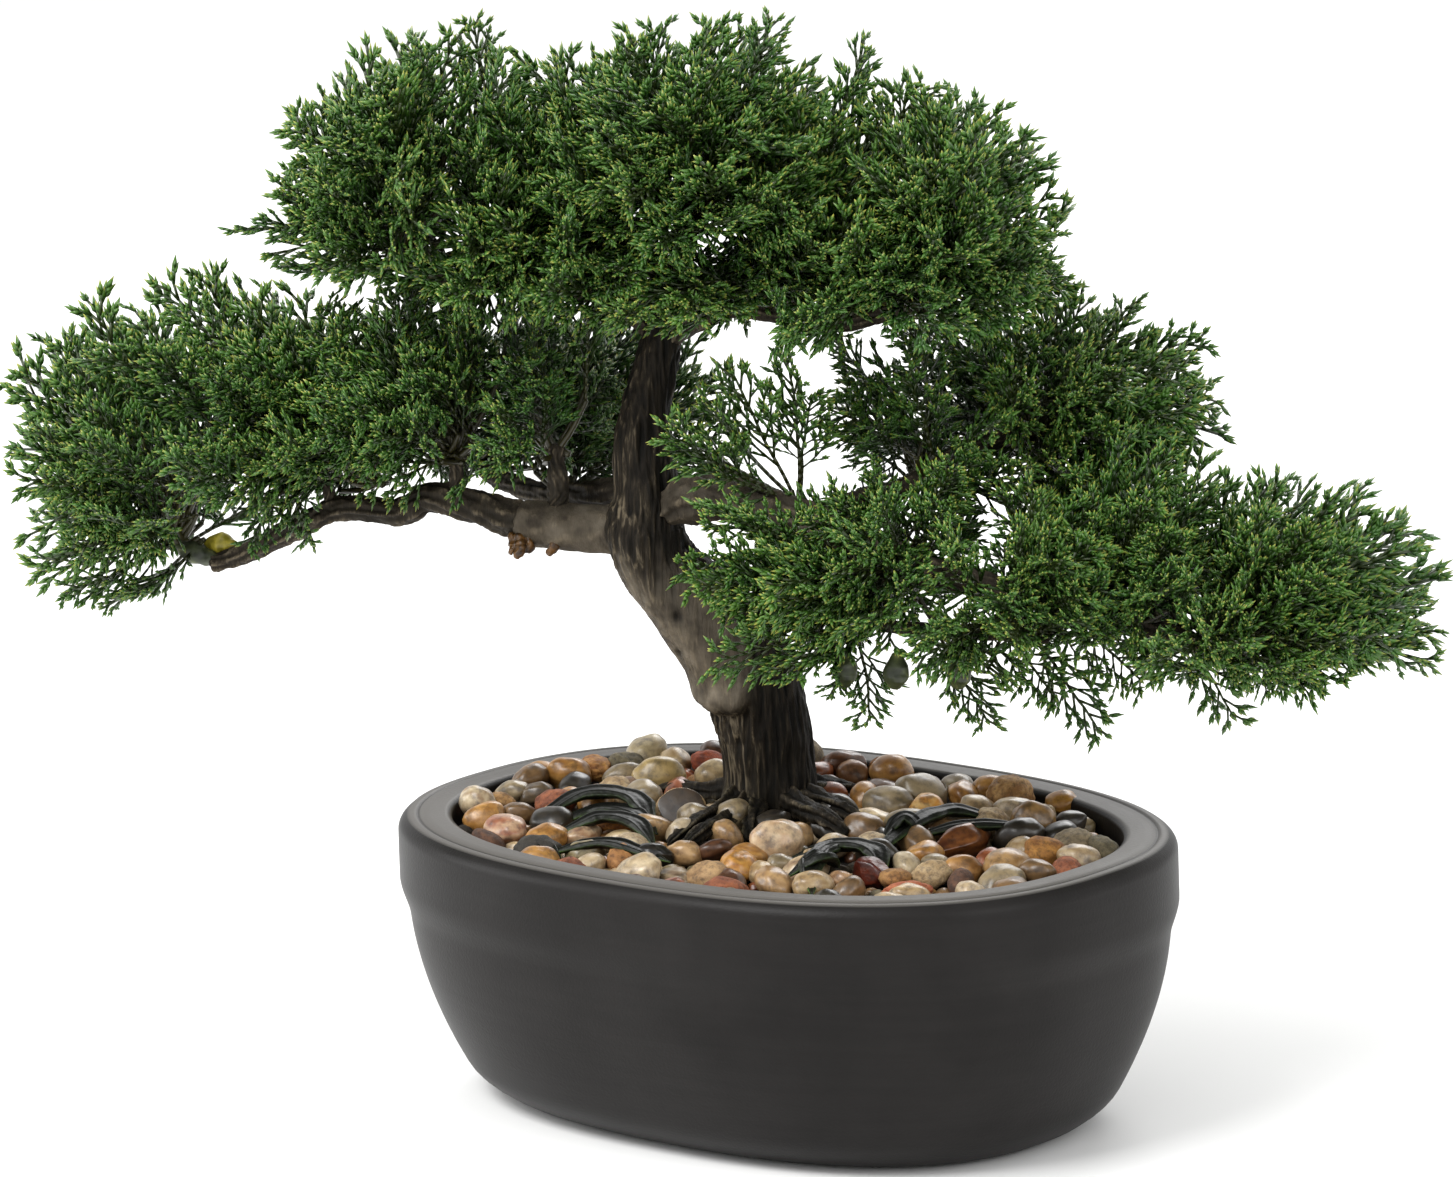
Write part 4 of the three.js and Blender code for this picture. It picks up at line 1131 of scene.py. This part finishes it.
def spray_mesh(twigs, buds):
    """Three-sided tubes for the twigs and keeled, pointed scales for the buds, with their map."""
    along, across, out = axes_of(twigs[:, 3], twigs[:, 4])
    corners = []
    for far in (0.0, 1.04):
        for turn in (0.0, 120.0, 240.0):
            offset = math.cos(math.radians(turn)) * across + math.sin(math.radians(turn)) * out
            radius = twigs[:, 6:7] * (1.0 - 0.12 * far)
            corners.append(twigs[:, :3] + along * twigs[:, 5:6] * far + offset * radius)
    twig_points = np.stack(corners, axis=1).reshape(-1, 3)
    runs = np.repeat(twigs[:, 7:9], 3, axis=1).ravel()
    twig_map = np.stack([runs, np.tile([0.2, 0.5, 0.8] * 2, len(twigs))], axis=1)
    twig_map[:, 0] += np.tile([0.0, 0.01, 0.0, 0.0, 0.01, 0.0], len(twigs))
    tube = np.array([
        [0, 2, 1], [3, 4, 5], [0, 1, 4], [0, 4, 3], [1, 2, 5], [1, 5, 4], [2, 0, 3], [2, 3, 5],
    ])
    twig_faces = (np.arange(len(twigs))[:, None, None] * 6 + tube).reshape(-1, 3)

    along, across, out = axes_of(buds[:, 3], buds[:, 4])
    base = buds[:, :3] - along * 0.4
    belly = base + along * buds[:, 5:6] * 0.45
    wide = across * (BUD_WIDTH / 2) * buds[:, 6:7]
    deep = out * (BUD_THICKNESS / 2) * buds[:, 6:7]
    tip = base + along * buds[:, 5:6]
    flank = belly - deep * 0.5
    bud_points = np.stack([base, flank + wide, belly + deep, flank - wide, tip], axis=1)
    bud_map = np.tile([[0.6, 0.5], [0.8, 0.1], [0.78, 0.5], [0.8, 0.9], [1.0, 0.5]], (len(buds), 1))
    bud_map[4::5, 0] = buds[:, 7]
    scale = np.array([[0, 2, 1], [0, 3, 2], [0, 1, 3], [4, 1, 2], [4, 2, 3], [4, 3, 1]])
    bud_faces = (np.arange(len(buds))[:, None, None] * 5 + scale).reshape(-1, 3)
    points = np.concatenate([twig_points, bud_points.reshape(-1, 3)])
    faces = np.concatenate([twig_faces, bud_faces + len(twig_points)])
    return points, faces, np.concatenate([twig_map, bud_map])


# Eight patterns, from 42 to 59 mm long, make all the sprays.
PATTERNS = [spray_pattern(seed, 42 + 2.4 * seed) for seed in range(8)]


def unit(vector):
    """A vector's direction."""
    return vector / max(np.linalg.norm(vector), 1e-9)


def grow_spray(draw, base, tip, tone):
    """One spray from base to tip, in tree millimetres, at any turn about its stem, a little curled."""
    points, faces, plane = PATTERNS[draw.randrange(len(PATTERNS))]
    length = np.linalg.norm(tip - base)
    size = length / points[:, 0].max()
    along = unit(tip - base)
    roll = draw.uniform(0, 2 * math.pi)
    level = unit(np.cross(along, [0.0, 1e-4, 1.0]))
    across = level * math.cos(roll) + np.cross(along, level) * math.sin(roll)
    out = np.cross(along, across)
    x, y, z = (points * [size, max(size, 0.8), max(size, 0.9)]).T
    curl = draw.uniform(-0.35, 0.35)
    bow = curl * (x / length) ** 2 * length - curl * x
    cup = draw.uniform(-0.012, 0.012) * y ** 2
    placed = base + x[:, None] * along + y[:, None] * across + (z + bow + cup)[:, None] * out
    band = 0.02 + 0.88 * tone + 0.08 * plane[:, 1]
    return placed, faces, np.stack([0.02 + 0.96 * plane[:, 0], band], axis=1)


def grow_twig(start, end):
    """The bare stem that carries a spray from its branch."""
    middle = (start + end) / 2 - np.array([0.0, 0.0, 1.0])
    points, faces, _ = limb([start, middle, end], [1.0, 0.85, 0.66], 6, 5)
    share = np.linspace(0.02, 0.1, len(points))
    return points, faces, np.stack([share, 0.45 + 0.1 * np.cos(np.arange(len(points)))], axis=1)


# Each pad in hundredths: its middle and half-lengths, the branch ends that its sprays fan out from,
# and how many sprays make its skin and its inside.
PADS = {
    "crown_middle": ([-3.6, 0, 80.9], [11.3, 14.9, 18.5], [[-4.2, 0.6, 76], [-5.3, 0.4, 68]], 96, 34),
    "crown_left": ([-21.4, 3.7, 81], [11.4, 12.9, 16.6], [[-24.7, 4.6, 70.4], [-17, 3.1, 67]], 88, 30),
    "crown_right": ([12, -3.4, 76.2], [9.6, 13.1, 15.5], [[11.2, -4.8, 65.4], [6.4, -4.2, 63.6]], 84, 28),
    "left_outer": ([-41.3, 11.4, 47.3], [12.2, 13.1, 20], [[-30.8, 8.2, 44], [-41.5, 12.4, 33.2]], 96, 30),
    "left_inner": ([-22.3, 6.6, 52.5], [11.5, 12.6, 14.7], [[-14.2, 2.2, 46.5], [-21.2, 4.7, 45.6]], 88, 28),
    "rear": ([-11.2, 18, 50.2], [7.9, 9.1, 12.1], [[-20, 16.6, 40.4], [-14.2, 8, 39.2]], 48, 12),
    "right_outer": ([34.4, -10.6, 31.6], [12.3, 12.6, 15], [[30.4, -13.4, 25.6], [24.7, -13.2, 29]], 90, 30),
    "right_lower": ([11.1, -14.3, 35.5], [15, 11.4, 12.4], [[9.2, -11.4, 36.8], [17, -15.2, 29.2]], 96, 28),
    "right_upper": ([18.7, 0.9, 49.2], [13.2, 12.6, 15.9], [[18.7, -1.1, 48.4], [10.5, -5.6, 44.2]], 96, 32),
    "front": ([-0.7, -9.1, 52.2], [5.4, 5.1, 10], [[-2.9, -4, 43], [2.5, -8, 41.6]], 0, 0),
}
# Loose sprays that stand out of a pad, or hang below it: base and tip, in hundredths.
LOOSE_SPRAYS = {
    "front": [
        ([2.5, -7, 44], [1.7, -9, 62.3]), ([2, -7, 44], [-2.1, -10, 62]),
        ([1.6, -7, 44], [-4, -11, 57.5]), ([1, -7, 44], [-6.7, -12, 55.7]),
        ([1, -7, 44], [-7.7, -10, 52.1]), ([2.6, -7, 44], [3.8, -6, 56.4]),
        ([2, -7, 43], [-3.6, -10, 47]),
    ],
    "left_inner": [
        ([-24, 5, 53], [-26, 4, 67]), ([-20, 4, 53], [-20, 2, 69]),
        ([-16, 3, 54], [-14, 0, 69]), ([-12, 1, 53], [-11, -4, 67]),
        ([-18, 5, 55], [-17, 6, 71]), ([-25, 6, 55], [-23, 5, 71]),
        ([-12, 3, 54], [-12, 4, 70]), ([-28, 6, 53], [-30, 5, 66]),
    ],
    "rear": [
        ([-11, 13, 42], [-4, 17, 54.5]), ([-11, 13, 41], [-1.1, 17, 51]),
        ([-11, 13, 40], [-0.2, 16, 45.9]), ([-11, 12, 39.6], [-1, 15, 41.2]),
        ([-12, 13, 44], [-5, 18, 60]),
    ],
    "right_lower": [
        ([4.4, -14, 34.4], [-6.7, -19, 39.4]), ([4.7, -14, 33.2], [-6, -20, 36.9]),
        ([3.8, -12, 37.3], [-4.9, -17, 46.1]), ([6.6, -15, 31], [-4.6, -21, 28.3]),
        ([7.3, -15, 30], [-0.4, -20, 26]), ([6.3, -15, 30.5], [6.6, -18, 18.8]),
        ([4.9, -16, 31.5], [3.9, -18, 22.6]), ([11.4, -14, 30], [15.4, -17, 17.6]),
        ([15.5, -13, 29], [19.8, -15, 19.5]), ([17.6, -13, 28.4], [23.2, -15, 15.6]),
        ([3, -10, 40], [-4, -15, 42]),
    ],
    "right_outer": [
        ([27.8, -12, 28.4], [32.3, -14, 15.8]), ([31.5, -12, 27.2], [38.2, -14, 19.6]),
        ([20, -13, 30], [25.8, -16, 21.8]), ([36, -12, 30], [46, -14, 22.5]),
        ([24, -12, 31], [27, -8, 46]), ([23, -11, 32], [23, -8, 45]),
        ([26, -12, 32], [30, -9, 46]), ([22, -12, 33], [19, -10, 45]),
        ([25, -9, 32], [25, -4, 46]), ([20, -12, 34], [16, -11, 46]),
        ([27, -12, 30], [26, -18, 42]), ([23, -12, 31], [21, -18, 42]),
    ],
    "left_outer": [
        ([-40.9, 12, 34.6], [-52.8, 13, 28.6]), ([-40.9, 12, 34.2], [-50.5, 10, 27.8]),
        ([-40, 12, 33.8], [-47.7, 12, 25.4]), ([-39.6, 12, 33.6], [-45.6, 8, 28.4]),
        ([-40.9, 12, 35.5], [-53.4, 14, 34.8]), ([-33, 6.4, 43.5], [-31.5, 4, 34.2]),
        ([-40, 11, 37], [-52, 8, 31]),
    ],
    "crown_left": [
        ([-17.3, 4, 85], [-18.7, 5, 99.9]), ([-26, 4, 81.5], [-33.2, 4, 80.3]),
        ([-25, 4, 75], [-34.4, 3, 70.5]), ([-21.9, 4, 84], [-29.1, 5, 89.8]),
        ([-20.5, 4, 85], [-24.1, 4, 96.6]),
    ],
    "crown_middle": [
        ([0, 0, 86.3], [1.6, 0, 100.3]), ([-12, 1, 80], [-13.6, 1, 95]),
        ([-9, 0, 84], [-8, 0, 99]),
    ],
    "crown_right": [
        ([5.4, -2, 84.1], [8, -3, 97.6]), ([7.9, -3, 81.7], [13, -4, 91.9]),
        ([11, -4, 74.4], [19, -5, 83.9]), ([12.4, -4, 70], [21.9, -5, 67.8]),
        ([3, -3, 68], [6, -6, 60]), ([12, -4, 68], [16.5, -6, 61]),
    ],
    "right_upper": [
        ([22.3, 0, 52], [31.6, 0, 59.7]), ([23.6, 0, 47.9], [32.5, 1, 50.9]),
        ([9.6, 0, 50.4], [4.7, -2, 61.7]), ([9.8, -2, 48.4], [4.4, -4, 53.8]),
        ([12, -1, 52], [9, -2, 65]),
    ],
}
# Low sprays that lie out level from a branch under its pad: where along it they start, and how many.
SKIRTS = {
    "crown_left": ([-25, 4.4, 71], [-9, 1.4, 65.6], 34),
    "crown_middle": ([-10, 1, 66], [-1, -2.4, 66], 22),
    "crown_right": ([-1, -2.6, 65.4], [11, -4.8, 65.8], 30),
    "right_outer": ([22, -12, 31], [32, -13, 27], 16),
}
SKIRT_DROP = 4.0
# Open space beside the trunk, above the sleeve: its middle and half-lengths in hundredths.
CLEARING = ([-11, -2, 40], [7, 10, 8])
# Nothing shorter grows: in millimetres, on the right branches, and on all the others.
SHORTEST_ON_RIGHT = 20.0
SHORTEST_SPRAY = 26.0
# Sprays that fill the creases between two pads, set out like a narrow pad of their own.
BRIDGES = {
    "crown_left": ([-12.6, 1.8, 80], [7.5, 13, 17.5], [[-9, 1, 68]], 40),
    "crown_right": ([4.4, -1.8, 78], [7, 12.6, 17], [[1, -2.6, 66]], 40),
    "left_inner": ([-32, 9, 50], [7, 12, 16.5], [[-27, 6.6, 42]], 38),
    "right_outer": ([25.5, -7, 39.5], [7.5, 11.5, 14.5], [[22.7, -12.6, 31]], 40),
}
PAD_BOTTOM = 0.8  # how flat a pad's underside is beside its top
GOLDEN_TURN = math.radians(137.5)
SPRAYS_A_PIECE = 76
clear_middle, clear_half = in_tree(CLEARING)
pad_shapes = {name: (in_tree([pad[0]])[0], in_tree([pad[1]])[0]) for name, pad in PADS.items()}


def depth_in(place, pad):
    """How far out a place lies in a pad: 0 at its middle, 1 on its skin."""
    middle, half = pad_shapes[pad]
    offset = (place - middle) / half
    if offset[2] < 0:
        offset[2] /= PAD_BOTTOM
    return np.linalg.norm(offset)


def fan_out(name, number):
    """All the sprays of one pad, fanned out from the ends of its branches, with their bare stems."""
    draw = random.Random(100 + number)
    shortest = SHORTEST_ON_RIGHT if name.startswith("right") else SHORTEST_SPRAY
    place, size, anchors, skin_count, inside_count = PADS[name]
    anchors = in_tree(anchors)
    shells = [
        (place, size, anchors, skin_count, 0.94, 1.12),
        (place, size, anchors, inside_count, 0.5, 0.85),
    ]
    if name in BRIDGES:
        place, size, starts, count = BRIDGES[name]
        shells.append((place, size, in_tree(starts), count, 0.9, 1.06))
    grown = []
    for layer, (place, size, starts, count, low, high) in enumerate(shells):
        middle, half = in_tree([place, size])
        for k in range(count):
            height = 1 - 2 * (k + 0.5) / count
            turn = GOLDEN_TURN * k + draw.uniform(-0.3, 0.3) + layer
            flat = math.sqrt(1 - height ** 2)
            rise = height + draw.uniform(-0.08, 0.08)
            way = np.array([flat * math.cos(turn), flat * math.sin(turn), rise])
            reach = draw.uniform(low, high)
            jitter = np.array([draw.uniform(-0.22, 0.22) for _ in range(3)])
            length = draw.uniform(40, 58)
            tone = min(max(draw.gauss(0.42, 0.22), 0.0), 1.0)
            tip = middle + way * half * reach * np.array([1.0, 1.0, PAD_BOTTOM if height < 0 else 1.0])
            thinned = height < -0.6 and k % 3 == 0
            if thinned or any(depth_in(tip, other) < 0.62 for other in PADS if other != name):
                continue
            anchor = min(starts, key=lambda place: np.linalg.norm(tip - place)) + jitter * [14, 4, 4]
            away = np.linalg.norm(tip - anchor)
            if away < shortest or np.linalg.norm((tip - clear_middle) / clear_half) < 1:
                continue
            heading = unit(unit(tip - anchor) + jitter + way * 0.2)
            base = tip - heading * max(min(length, 0.92 * away), shortest)
            grown.append((grow_spray(draw, base, tip, tone), grow_twig(anchor, base)))
    for base, tip in LOOSE_SPRAYS.get(name, []):
        base, tip = in_tree([base])[0], in_tree([tip])[0]
        anchor = min(anchors, key=lambda place: np.linalg.norm(base - place))
        grown.append((grow_spray(draw, base, tip, draw.uniform(0.3, 0.9)), grow_twig(anchor, base)))
    near, far, count = SKIRTS.get(name, (anchors[0], anchors[0], 0))
    near, far = in_tree([near, far])
    for k in range(count):
        turn = GOLDEN_TURN * k
        way = np.array([math.cos(turn), math.sin(turn), draw.uniform(-SKIRT_DROP, SKIRT_DROP) / 40])
        start = near + (far - near) * draw.random()
        base = start + way * draw.uniform(2, 7) + np.array([0.0, 0.0, draw.uniform(0, 5)])
        tip = base + way * draw.uniform(34, 46)
        grown.append((grow_spray(draw, base, tip, draw.random()), grow_twig(start, base)))
    return grown


for number, name in enumerate(PADS):
    grown = fan_out(name, number)
    shares = math.ceil(len(grown) / SPRAYS_A_PIECE)
    for share in range(shares):
        points, faces, plane = join([part for pair in grown[share::shares] for part in pair])
        label = f"{name}_sprays_{share + 1}"
        piece(label, in_pot(points), faces, cedar, "cedar_sprays", f"{name}_pad", plane=plane)
